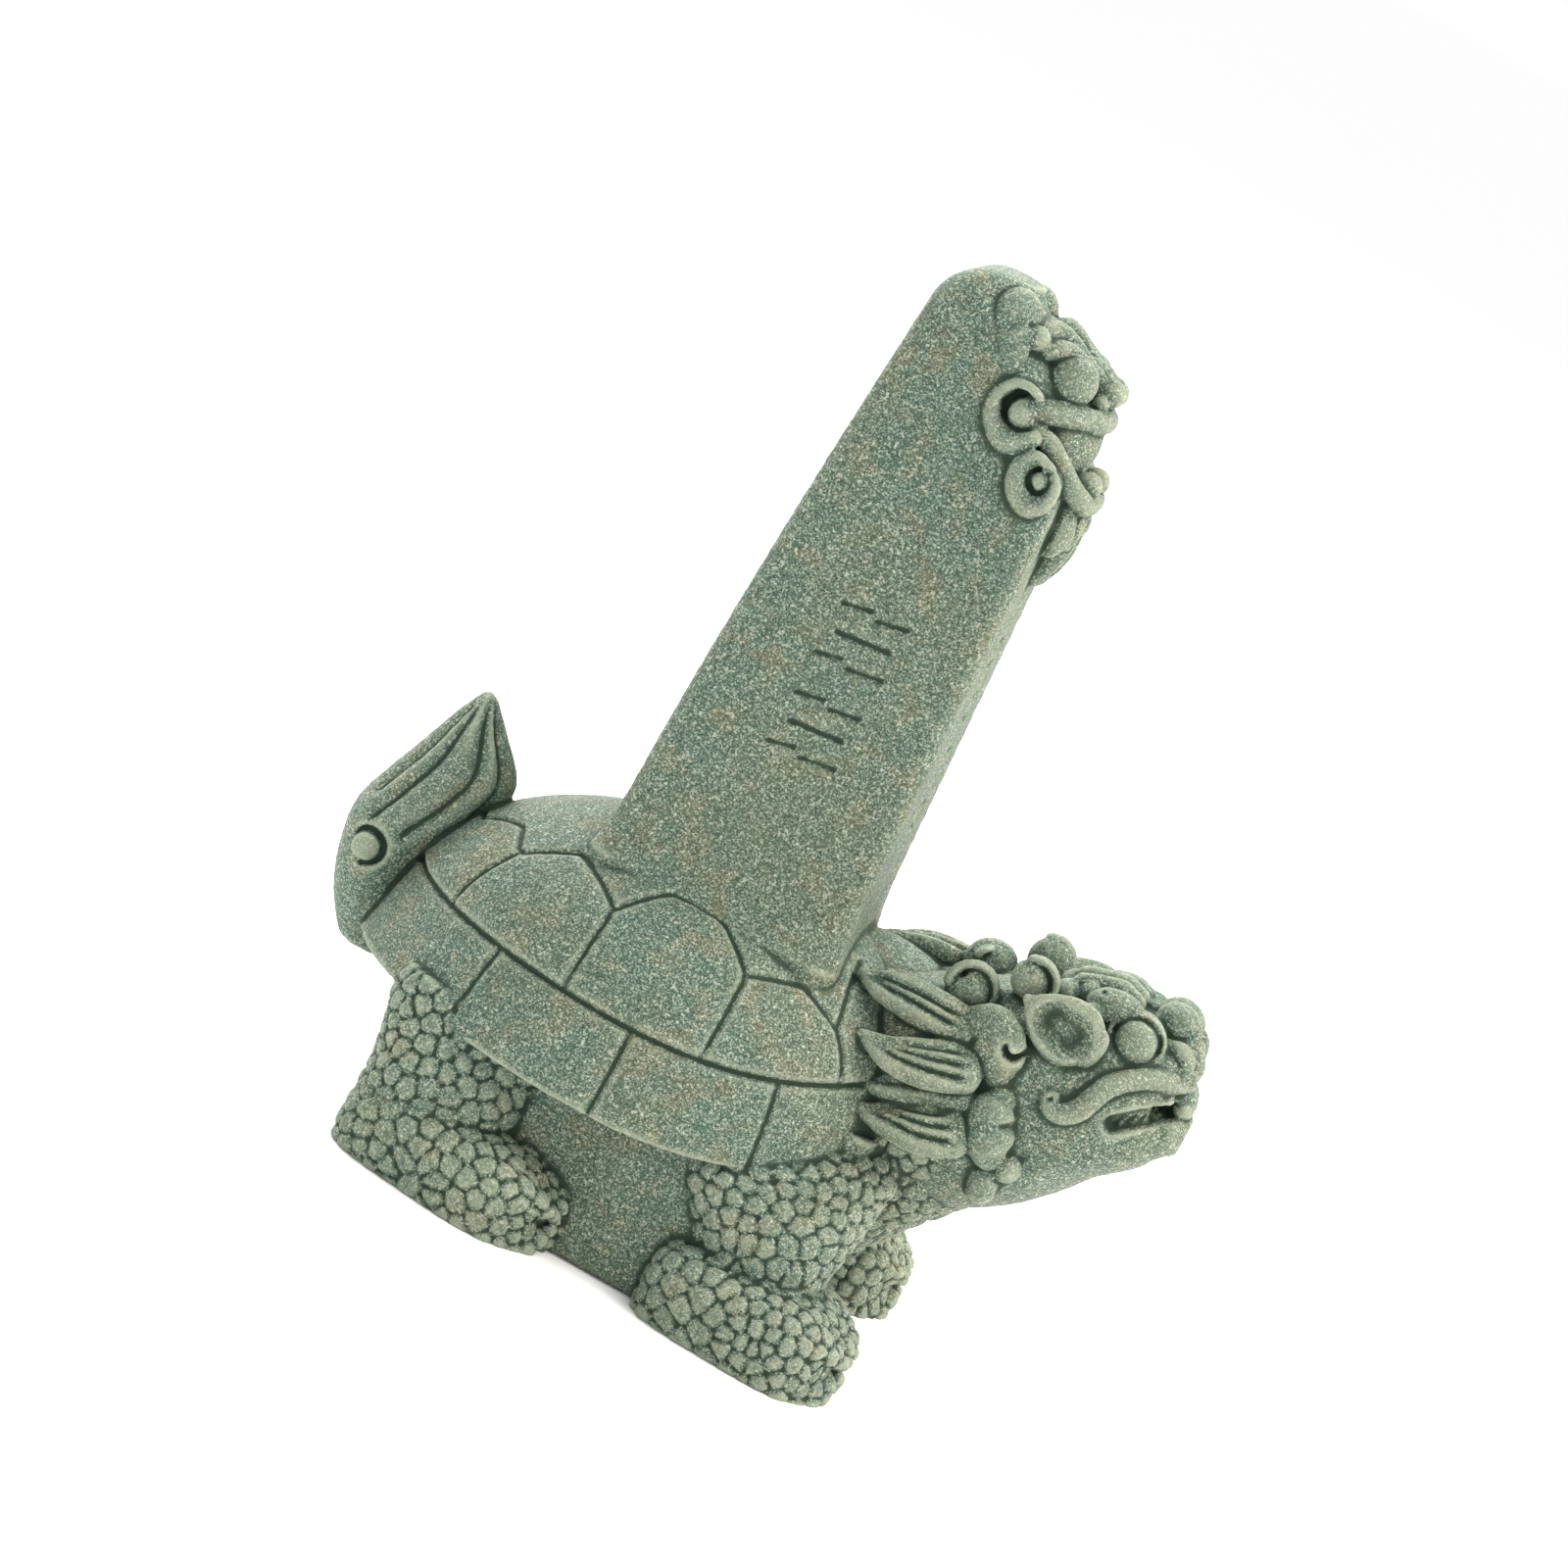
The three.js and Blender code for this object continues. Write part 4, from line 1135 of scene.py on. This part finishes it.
@dataclass
class Mask:
    """The small beast mask on the pillar's front: ears, brows, eyes, nose, lips, jaw, curls and beard."""

    crescent: ClassVar[Rows] = (
        (-2.7, 100.0, 0.2),
        (-3.4, 100.1, 0.38),
        (-4.1, 99.8, 0.5),
        (-4.8, 98.5, 0.52),
        (-4.4, 97.4, 0.48),
        (-3.5, 96.8, 0.38),
        (-2.5, 96.7, 0.3),
        (-1.4, 97.1, 0.18),
    )
    oval: ClassVar[Rows] = (
        (1.9, 94.4, 0.15),
        (1.4, 94.1, 0.3),
        (1.0, 93.4, 0.36),
        (1.0, 92.7, 0.36),
        (1.45, 92.1, 0.34),
        (2.1, 91.8, 0.3),
        (2.7, 92.0, 0.25),
        (3.05, 92.7, 0.16),
        (3.1, 93.6, 0.12),
    )

    def across(self, rows: Rows) -> Rows:
        """Rows of the near side followed by their mirror images, as one line across the face."""
        return [*rows, *((row[0], -row[1], *row[2:]) for row in reversed(rows))]

    def middle_forms(self) -> list[Skin]:
        """Skull, inner mouth, nose, lips, jaw and the middle strand of the beard."""
        lip = self.across(
            (
                (-2.3, -9.3, 98.9, 1.2, 1.4),
                (-0.6, -8.7, 99.5, 1.3, 1.4),
                (1.2, -7.6, 100.0, 1.3, 1.35),
                (3.0, -5.4, 100.3, 1.2, 1.25),
                (4.3, -2.8, 100.4, 1.1, 1.2),
            )
        )
        jaw = self.across(
            (
                (-0.8, -9.5, 97.3, 0.8),
                (1.0, -9.3, 96.7, 1.1),
                (2.7, -8.6, 95.4, 1.2),
                (4.6, -7.4, 93.8, 1.2),
                (6.2, -5.6, 92.7, 1.2),
                (6.9, -3.4, 92.2, 1.15),
            )
        )
        strand = ((5.7, 0, 91.5, 2.3, 1.6), (6.2, 0, 88.2, 2.5, 1.8), (6.0, 0, 85.4, 2.3, 1.7), (5.3, 0, 83.2, 2.0, 1.5))
        return [
            closed(egg((1.0, 0, 96.8), (4.2, 8.4, 5.6))),
            closed(egg((1.0, 0, 104.0), (2.8, 2.6, 1.9))),
            closed(egg((-5.4, 0, 102.2), (5.8, 8.6, 5.2))),
            closed(tube(lip, Facing.UP, count=120)),
            closed(tube(jaw, Facing.UP, count=120)),
            closed(tube(strand, Facing.AHEAD, sides=80, square=0.85, cuts=((-0.35, -0.35, 0.25, 0.3), (0.35, 0.35, 0.25, 0.3)))),
        ]

    def side_forms(self) -> list[Skin]:
        """Ear, brow, eye, nose, beard strand and the two curls, on the near side."""
        stem = ((-5.9, -9.8, 101.6, 0.7, 0.5), (-6.4, -9.7, 103.2, 1.4, 0.8), (-7.3, -9.3, 104.8, 2.1, 1.2))
        brow = (
            (-5.2, -8.2, 105.2, 1.1),
            (-4.7, -6.6, 105.9, 1.3),
            (-3.9, -4.6, 106.5, 1.35),
            (-2.2, -3.5, 105.9, 1.3),
            (-0.3, -2.9, 104.9, 1.2),
            (1.6, -2.2, 104.2, 1.0),
        )
        ridge = ((-3.8, -7.6, 104.8, 1.1), (-2.2, -6.6, 105.4, 1.2), (-0.6, -5.2, 105.1, 1.1), (1.0, -3.8, 104.3, 0.9))
        strand = ((5.2, -5.0, 91.6, 1.1), (5.5, -5.1, 89.8, 1.7), (5.7, -4.9, 88.2, 1.8), (5.6, -4.3, 86.9, 1.3))
        inner = ((6.4, -2.9, 91.2, 0.9), (6.7, -3.2, 89.6, 1.2), (6.6, -3.2, 88.0, 1.1))
        ring = (
            (-1.6, -9.6, 99.8, 0.5),
            (-2.2, -10.1, 100.6, 0.5),
            (-3.3, -10.5, 100.95, 0.5),
            (-4.9, -10.4, 100.6, 0.55),
            (-5.95, -10.3, 98.7, 0.65),
            (-5.5, -10.3, 96.6, 0.9),
            (-3.7, -10.4, 95.1, 1.15),
            (-1.8, -10.5, 95.2, 1.15),
            (-0.5, -10.3, 96.6, 0.9),
        )
        roll = (
            (2.6, -11.0, 94.8, 0.45),
            (0.6, -11.0, 95.1, 0.7),
            (-0.4, -10.9, 93.5, 0.95),
            (0.2, -10.9, 91.4, 1.15),
            (2.1, -11.0, 90.2, 1.15),
            (3.6, -11.0, 91.2, 0.85),
            (3.85, -11.0, 93.1, 0.6),
            (3.3, -11.0, 94.2, 0.45),
        )
        first = egg((-3.7, -8.7, 97.6), (3.4, 2.2, 3.8), 0, 90, 140)
        second = egg((1.4, -9.4, 92.2), (3.1, 2.2, 3.3), 20, 90, 140)
        return [
            closed(egg((-8.4, -6.7, 105.8), (2.8, 3.5, 3.5))),
            closed(tube(stem, sides=60)),
            closed(egg((-5.1, -8.6, 105.5), (1.35, 1.4, 1.35))),
            closed(tube(brow)),
            closed(tube(ridge)),
            closed(egg((-0.1, -6.4, 103.2), (2.7, 2.7, 2.6))),
            closed(egg((3.2, -1.4, 103.4), (2.0, 1.7, 1.65))),
            closed(egg((3.3, -3.0, 102.1), (0.95, 1.0, 1.0))),
            closed(egg((6.15, -3.5, 94.2), (1.5, 1.4, 1.45))),
            closed(tube(strand, sides=60, cuts=((0.0, 0.2, 0.3, 0.35),))),
            closed(tube(inner, sides=40)),
            closed(press(first, self.crescent, 2.0, 0.35, 7.0)),
            closed(egg((-2.85, -9.6, 98.1), (1.45, 1.7, 1.45), 30)),
            closed(press(tube(ring, count=120), self.crescent, 1.5, 0.3, 7.0)),
            closed(press(second, self.oval, 1.6, 0.35, 7.0)),
            closed(press(tube(roll, count=140), self.oval, 1.2, 0.3, 7.0)),
            closed(egg((2.05, -10.3, 93.2), (0.75, 1.3, 1.0), 100)),
        ]

    def forms(self) -> list[Skin]:
        """All of the mask's skins."""
        return [*self.middle_forms(), *both(self.side_forms())]


# Fused skin


@dataclass
class Web:
    """Points joined by edges, for averaging over neighbours.

    Attributes:
        edges: pairs of point numbers.
        count: number of points.
    """

    edges: Array
    count: int

    def average(self, values: Array) -> Array:
        """The mean of each point's neighbours.

        Args:
            values: one row for each point.

        Returns:
            The means.
        """
        start, end = self.edges.T
        table = values.reshape(self.count, -1)
        sums = np.stack(
            [
                np.bincount(start, column[end], self.count) + np.bincount(end, column[start], self.count)
                for column in table.T
            ],
            -1,
        )
        held = np.bincount(start, minlength=self.count) + np.bincount(end, minlength=self.count)
        return (sums / np.maximum(held, 1)[:, None]).reshape(values.shape)

    def relaxed(self, values: Array, rounds: int) -> Array:
        """Values after moving each halfway to its neighbours' mean, several times."""
        for _ in range(rounds):
            values = 0.5 * (values + self.average(values))
        return values


@dataclass
class Carving:
    """Fuses all forms into one closed skin and thins it to the triangles that it may have.

    Attributes:
        cell: edge of the cells that fuse the forms, in millimetres.
        budget: the most triangles.
        wave: mean length of the unevenness of worked faces.
        wave_height: how high it is.
    """

    cell: float = 0.22
    quick_cell: float = 0.4
    budget: int = 196_000
    wave: float = 1.1
    wave_height: float = 0.016

    def rough(self, points: Array) -> Array:
        """How far a hand-worked face stands out at each point: the mean of sine waves in many directions.

        Args:
            points: the places.

        Returns:
            The heights.
        """
        chance = np.random.default_rng(7)
        ways = unit(chance.normal(size=(12, 3))) * 2 * np.pi / (self.wave * chance.uniform(0.7, 1.6, (12, 1)))
        return self.wave_height * np.sin(points @ ways.T + chance.uniform(0, 2 * np.pi, 12)).sum(axis=1) / math.sqrt(6)

    def mesh_of(self, name: str, points: Array, faces: Array) -> bpy.types.Mesh:
        """A Blender mesh from points and faces."""
        mesh = bpy.data.meshes.new(name)
        mesh.from_pydata(points.tolist(), [], faces.tolist())
        return mesh

    def evaluated(self, mesh: bpy.types.Mesh, kind: str, **settings: object) -> bpy.types.Mesh:
        """A mesh after one modifier.

        Args:
            mesh: the mesh to change; it is removed.
            kind: the modifier's type.
            settings: its values.

        Returns:
            The changed mesh.
        """
        holder = bpy.data.objects.new("holder", mesh)
        bpy.context.scene.collection.objects.link(holder)
        modifier = holder.modifiers.new(kind.lower(), kind)
        for key, value in settings.items():
            setattr(modifier, key, value)
        graph = bpy.context.evaluated_depsgraph_get()
        result = bpy.data.meshes.new_from_object(holder.evaluated_get(graph), depsgraph=graph)
        bpy.data.objects.remove(holder)
        bpy.data.meshes.remove(mesh)
        return result

    def read(self, mesh: bpy.types.Mesh, kind: str, wide: int) -> Array:
        """Numbers of a mesh: its points' places or normals, or its edges' ends."""
        source, count, number = {
            "co": (mesh.vertices, len(mesh.vertices), np.float32),
            "normal": (mesh.vertices, len(mesh.vertices), np.float32),
            "vertices": (mesh.edges, len(mesh.edges), np.int32),
        }[kind]
        values = np.empty(count * wide, number)
        source.foreach_get(kind, values)
        return values.reshape(count, wide)

    def shade(self, mesh: bpy.types.Mesh, web: Web, points: Array) -> None:
        """Writes how hollow and how raised each point is, at two sizes; the stone's painted shade and painted
        highlights follow these.

        A point is hollow by how far its relaxed place lies outside it along its normal.

        Args:
            mesh: the fine mesh.
            web: its edges.
            points: its points.
        """
        normals = self.read(mesh, "normal", 3)
        fine = web.relaxed(points, 5)
        broad = web.relaxed(fine, 40)
        for name, place in (("fine_hollow", fine), ("broad_hollow", broad)):
            depth = np.einsum("ij,ij->i", place - points, normals)
            values = web.relaxed(depth, 1).astype(np.float32)
            mesh.attributes.new(name, "FLOAT", "POINT").data.foreach_set("value", values)

    def piece(self, skins: Sequence[Skin], name: str) -> bpy.types.Object:
        """One object from all skins.

        Args:
            skins: the closed skins, which may overlap.
            name: the object's name.

        Returns:
            The object, in metres.
        """
        starts = np.cumsum([0] + [len(skin.points) for skin in skins])
        points = np.concatenate([skin.points for skin in skins])
        points[:, 2] = np.maximum(points[:, 2], 0.0)
        faces = np.concatenate([skin.faces + start for skin, start in zip(skins, starts)])
        cell = self.cell
        mesh = self.mesh_of(name, points, faces)
        mesh = self.evaluated(mesh, "REMESH", mode="VOXEL", voxel_size=cell, adaptivity=0.0, use_smooth_shade=True)
        LOG.info("fused skin: %d points", len(mesh.vertices))
        web = Web(self.read(mesh, "vertices", 2), len(mesh.vertices))
        points = self.read(mesh, "co", 3).astype(float)
        points = web.relaxed(points, 1)
        mesh.vertices.foreach_set("co", points.astype(np.float32).ravel())
        mesh.update()
        self.shade(mesh, web, points)
        points = points + self.read(mesh, "normal", 3) * self.rough(points)[:, None]
        mesh.vertices.foreach_set("co", points.astype(np.float32).ravel())
        triangles = 2 * len(mesh.polygons)
        mesh = self.evaluated(mesh, "DECIMATE", ratio=min(1.0, self.budget / triangles), use_collapse_triangulate=True)
        low, high = (np.array(corner) for corner in CAD_BOX)
        final = self.read(mesh, "co", 3).astype(float) * MM
        final = np.clip(final, low, high)
        mesh.vertices.foreach_set("co", final.astype(np.float32).ravel())
        mesh.polygons.foreach_set("use_smooth", np.ones(len(mesh.polygons), bool))
        mesh.update()
        mesh.name = name
        piece = bpy.data.objects.new(name, mesh)
        bpy.context.scene.collection.objects.link(piece)
        LOG.info("%s: %d triangles", name, len(mesh.polygons))
        return piece


# Finishes


@dataclass(frozen=True)
class StoneFinish:
    """Speckled grey-green stone: dull, with light and dark grains, painted shade in its creases and hollows, and raised
    tops lightened partly by wear and partly by painted highlight.
    """

    slot: str = "stone"
    body: Colour = (0.051, 0.085, 0.053)
    warm: Colour = (0.105, 0.1, 0.05)
    cool: Colour = (0.04, 0.084, 0.06)
    # hollow is the painted shade colour laid into creases and hollows.
    hollow: Colour = (0.006, 0.022, 0.009)
    # Colour for raised tops and edges: partly real wear, partly painted highlight.
    wear_and_highlight: Colour = (0.27, 0.31, 0.22)
    light_grain: Colour = (0.42, 0.49, 0.38)
    dark_grain: Colour = (0.009, 0.021, 0.011)
    rusty_grain: Colour = (0.2, 0.12, 0.075)
    roughness: float = 0.86
    grain_per_metre: float = 7000.0

    def material(self) -> bpy.types.Material:
        """The stone's nodes.

        Returns:
            The material.
        """
        material = bpy.data.materials.new("speckled_stone")
        material.use_nodes = True
        nodes, links = material.node_tree.nodes, material.node_tree.links
        shader = nodes["Principled BSDF"]
        place = nodes.new("ShaderNodeTexCoord").outputs["Object"]

        def noise(scale: float, detail: float) -> bpy.types.NodeSocket:
            """A noise over the object, as a value."""
            node = nodes.new("ShaderNodeTexNoise")
            node.inputs["Scale"].default_value = scale
            node.inputs["Detail"].default_value = detail
            links.new(place, node.inputs["Vector"])
            return node.outputs["Fac"]

        def cells(scale: float) -> bpy.types.NodeSocket:
            """A random value in each of many cells."""
            node = nodes.new("ShaderNodeTexVoronoi")
            node.inputs["Scale"].default_value = scale
            links.new(place, node.inputs["Vector"])
            split = nodes.new("ShaderNodeSeparateColor")
            links.new(node.outputs["Color"], split.inputs["Color"])
            return split.outputs["Red"]

        def step(value: bpy.types.NodeSocket, low: float, high: float, top: float = 1.0) -> bpy.types.NodeSocket:
            """A value carried from a range to 0 and `top`, and held there."""
            node = nodes.new("ShaderNodeMapRange")
            node.interpolation_type = "SMOOTHSTEP"
            node.inputs["From Min"].default_value = low
            node.inputs["From Max"].default_value = high
            node.inputs["To Max"].default_value = top
            links.new(value, node.inputs["Value"])
            return node.outputs["Result"]

        def mix(share: bpy.types.NodeSocket, base: object, over: Colour) -> bpy.types.NodeSocket:
            """One colour over another by a share."""
            node = nodes.new("ShaderNodeMix")
            node.data_type = "RGBA"
            links.new(share, node.inputs[0])
            if isinstance(base, tuple):
                node.inputs[6].default_value = (*base, 1)
            else:
                links.new(base, node.inputs[6])
            node.inputs[7].default_value = (*over, 1)
            return node.outputs[2]

        def attribute(name: str) -> bpy.types.NodeSocket:
            """A value stored on the mesh."""
            node = nodes.new("ShaderNodeAttribute")
            node.attribute_name = name
            return node.outputs["Fac"]

        colour = mix(step(noise(55, 2), 0.42, 0.62), self.body, self.cool)
        colour = mix(step(noise(260, 3), 0.48, 0.7, 0.7), colour, self.warm)
        colour = mix(step(noise(self.grain_per_metre * 0.62, 1), 0.52, 0.78, 0.6), colour, self.light_grain)
        colour = mix(step(noise(self.grain_per_metre * 0.55, 1), 0.44, 0.2, 0.85), colour, self.dark_grain)
        colour = mix(step(cells(self.grain_per_metre), 0.6, 1.0, 0.5), colour, self.light_grain)
        colour = mix(step(cells(self.grain_per_metre * 0.86), 0.6, 1.0, 0.75), colour, self.dark_grain)
        colour = mix(step(cells(self.grain_per_metre * 0.6), 0.95, 0.97, 0.6), colour, self.light_grain)
        colour = mix(step(cells(self.grain_per_metre * 0.6), 0.97, 0.98, 0.35), colour, self.rusty_grain)
        # Raised tops and edges lightened: partly real wear, partly painted highlight.
        colour = mix(step(attribute("broad_hollow"), -0.04, -0.3, 0.35), colour, self.wear_and_highlight)
        colour = mix(step(attribute("fine_hollow"), -0.006, -0.04, 0.4), colour, self.wear_and_highlight)
        # Painted shade: fine creases and broad hollows darkened to a near-black green.
        colour = mix(step(attribute("fine_hollow"), 0.004, 0.034, 0.96), colour, self.hollow)
        colour = mix(step(attribute("broad_hollow"), 0.02, 0.2, 0.8), colour, self.hollow)
        links.new(colour, shader.inputs["Base Color"])
        shader.inputs["Roughness"].default_value = self.roughness
        bump = nodes.new("ShaderNodeBump")
        bump.inputs["Strength"].default_value = 0.35
        bump.inputs["Distance"].default_value = 0.0001
        links.new(noise(self.grain_per_metre, 3), bump.inputs["Height"])
        links.new(bump.outputs["Normal"], shader.inputs["Normal"])
        return material


@dataclass(frozen=True)
class FloorFinish:
    """Plain pale floor."""

    colour: Colour = (0.985, 0.985, 0.985)
    roughness: float = 0.9

    def material(self) -> bpy.types.Material:
        """The floor's material."""
        material = bpy.data.materials.new("pale_floor")
        material.use_nodes = True
        shader = material.node_tree.nodes["Principled BSDF"]
        shader.inputs["Base Color"].default_value = (*self.colour, 1)
        shader.inputs["Roughness"].default_value = self.roughness
        return material


# The figure and its studio


@dataclass
class Guardian:
    """The whole figure, carved as one piece."""

    name: str = "dragon_turtle_stone"

    def skins(self) -> list[Skin]:
        """The closed skins of all parts."""
        scales = Scales()
        front_leg = Leg(
            (
                (7, 8.4, 22.4, 10.5, 25),
                (10.8, 6.2, 22.4, 10, 25),
                (13, 4.2, 22.6, 9.5, 25),
                (16, 2.2, 23.2, 8.5, 24),
                (18.5, 1.6, 23.4, 7, 21.8),
                (21.5, 1.8, 23.6, 5, 17.8),
                (24.5, 6, 22.5, 3, 13.4),
            )
        )
        rear_leg = Leg(
            (
                (2.5, -29.6, -21, 11.5, 27.4),
                (6, -30, -16.8, 11.5, 27.6),
                (9, -30.2, -13.4, 11.5, 27.0),
                (13, -31, -12.6, 11, 25.4),
                (16, -31.8, -12.4, 10.5, 24.2),
                (19, -31.4, -12.2, 10, 23),
            )
        )
        front_foot = Foot(17.2, -18.9, -3)
        rear_foot = Foot(-16.7, -20.8, -13, length=25.5, width=18.8, height=8.7)
        limbs = [part.forms(scales, seed) for seed, part in enumerate((front_leg, rear_leg, front_foot, rear_foot), 1)]
        parts: list[tuple[str, Callable[[], list[Skin]]]] = [
            ("shell", Shell().forms),
            ("pillar", Pillar().forms),
            ("belly", Belly().forms),
            ("legs and feet", lambda: both([skin for limb in limbs for skin in limb])),
            ("chest", lambda: Chest().forms(scales, 5)),
            ("head", Head().forms),
            ("tail", Tail().forms),
            ("mask", Mask().forms),
        ]
        skins: list[Skin] = []
        for name, make in parts:
            made = make()
            LOG.info("%s: %d forms, %d points", name, len(made), sum(len(skin.points) for skin in made))
            skins += made
        return skins

    def build(self) -> bpy.types.Object:
        """The figure's object, dressed and tied to the frame."""
        piece = Carving().piece(self.skins(), self.name)
        finish = StoneFinish()
        piece.data.materials.append(finish.material())
        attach(piece, "root")
        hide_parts(NODE)
        return piece


@dataclass
class Studio:
    """Pale floor, soft lights and the camera at the photograph's angle; sizes in metres."""

    aim: tuple[float, float, float] = (-0.0075, 0.0, 0.0505)
    distance: float = 0.52
    azimuth: float = 5.5
    elevation: float = 11.5
    roll: float = 28.0
    lens: float = 112.9
    sensor: float = 36.0

    def camera(self) -> None:
        """A camera that looks at the figure's middle, turned about its own axis."""
        azimuth, elevation = math.radians(self.azimuth), math.radians(self.elevation)
        back = Vector(
            (math.sin(azimuth) * math.cos(elevation), -math.cos(azimuth) * math.cos(elevation), math.sin(elevation))
        )
        data = bpy.data.cameras.new("view")
        data.lens, data.sensor_width = self.lens, self.sensor
        data.clip_start, data.clip_end = 0.02, 100
        camera = bpy.data.objects.new("view", data)
        turn = back.to_track_quat("Z", "Y").to_matrix().to_4x4() @ Matrix.Rotation(math.radians(self.roll), 4, "Z")
        camera.matrix_world = Matrix.Translation(Vector(self.aim) + self.distance * back) @ turn
        bpy.context.scene.collection.objects.link(camera)
        bpy.context.scene.camera = camera

    def lamp(self, name: str, place: tuple[float, float, float], size: float, watts: float, tint: Sequence[float]) -> None:
        """A square soft light that faces the figure.

        Args:
            name: its name.
            place: where it hangs.
            size: its side.
            watts: its power.
            tint: its colour.
        """
        data = bpy.data.lights.new(name, "AREA")
        data.size, data.energy, data.color = size, watts, tint
        light = bpy.data.objects.new(name, data)
        light.location = place
        light.rotation_euler = (Vector(place) - Vector(self.aim)).to_track_quat("Z", "Y").to_euler()
        bpy.context.scene.collection.objects.link(light)

    def floor(self) -> None:
        """A wide flat floor just under the feet."""
        half, depth = 40.0, -0.00002
        mesh = bpy.data.meshes.new("floor")
        mesh.from_pydata([(x * half, y * half, depth) for x, y in ((-1, -1), (1, -1), (1, 1), (-1, 1))], [], [(0, 1, 2, 3)])
        mesh.materials.append(FloorFinish().material())
        floor = bpy.data.objects.new("floor", mesh)
        bpy.context.scene.collection.objects.link(floor)

    def build(self) -> None:
        """The whole studio."""
        scene = bpy.context.scene
        scene.view_settings.view_transform = "Standard"
        scene.world = bpy.data.worlds.new("studio")
        scene.world.use_nodes = True
        background = scene.world.node_tree.nodes["Background"]
        background.inputs["Color"].default_value = (1, 1, 1, 1)
        background.inputs["Strength"].default_value = 1.0
        self.floor()
        self.lamp("key", (0.6, 0.05, 0.4), 0.8, 6.2, (1.0, 0.82, 0.74))
        self.lamp("top", (0.3, 0.05, 0.8), 0.6, 8.0, (1.0, 0.97, 0.94))
        self.lamp("rim", (-0.4, 0.5, 0.5), 0.6, 13.0, (1.0, 0.98, 0.95))
        self.camera()


def main() -> None:
    """Builds the figure, then the studio."""
    logging.basicConfig(level=logging.INFO, format="%(name)s: %(message)s")
    Guardian().build()
    Studio().build()


if __name__ == "__main__":
    main()
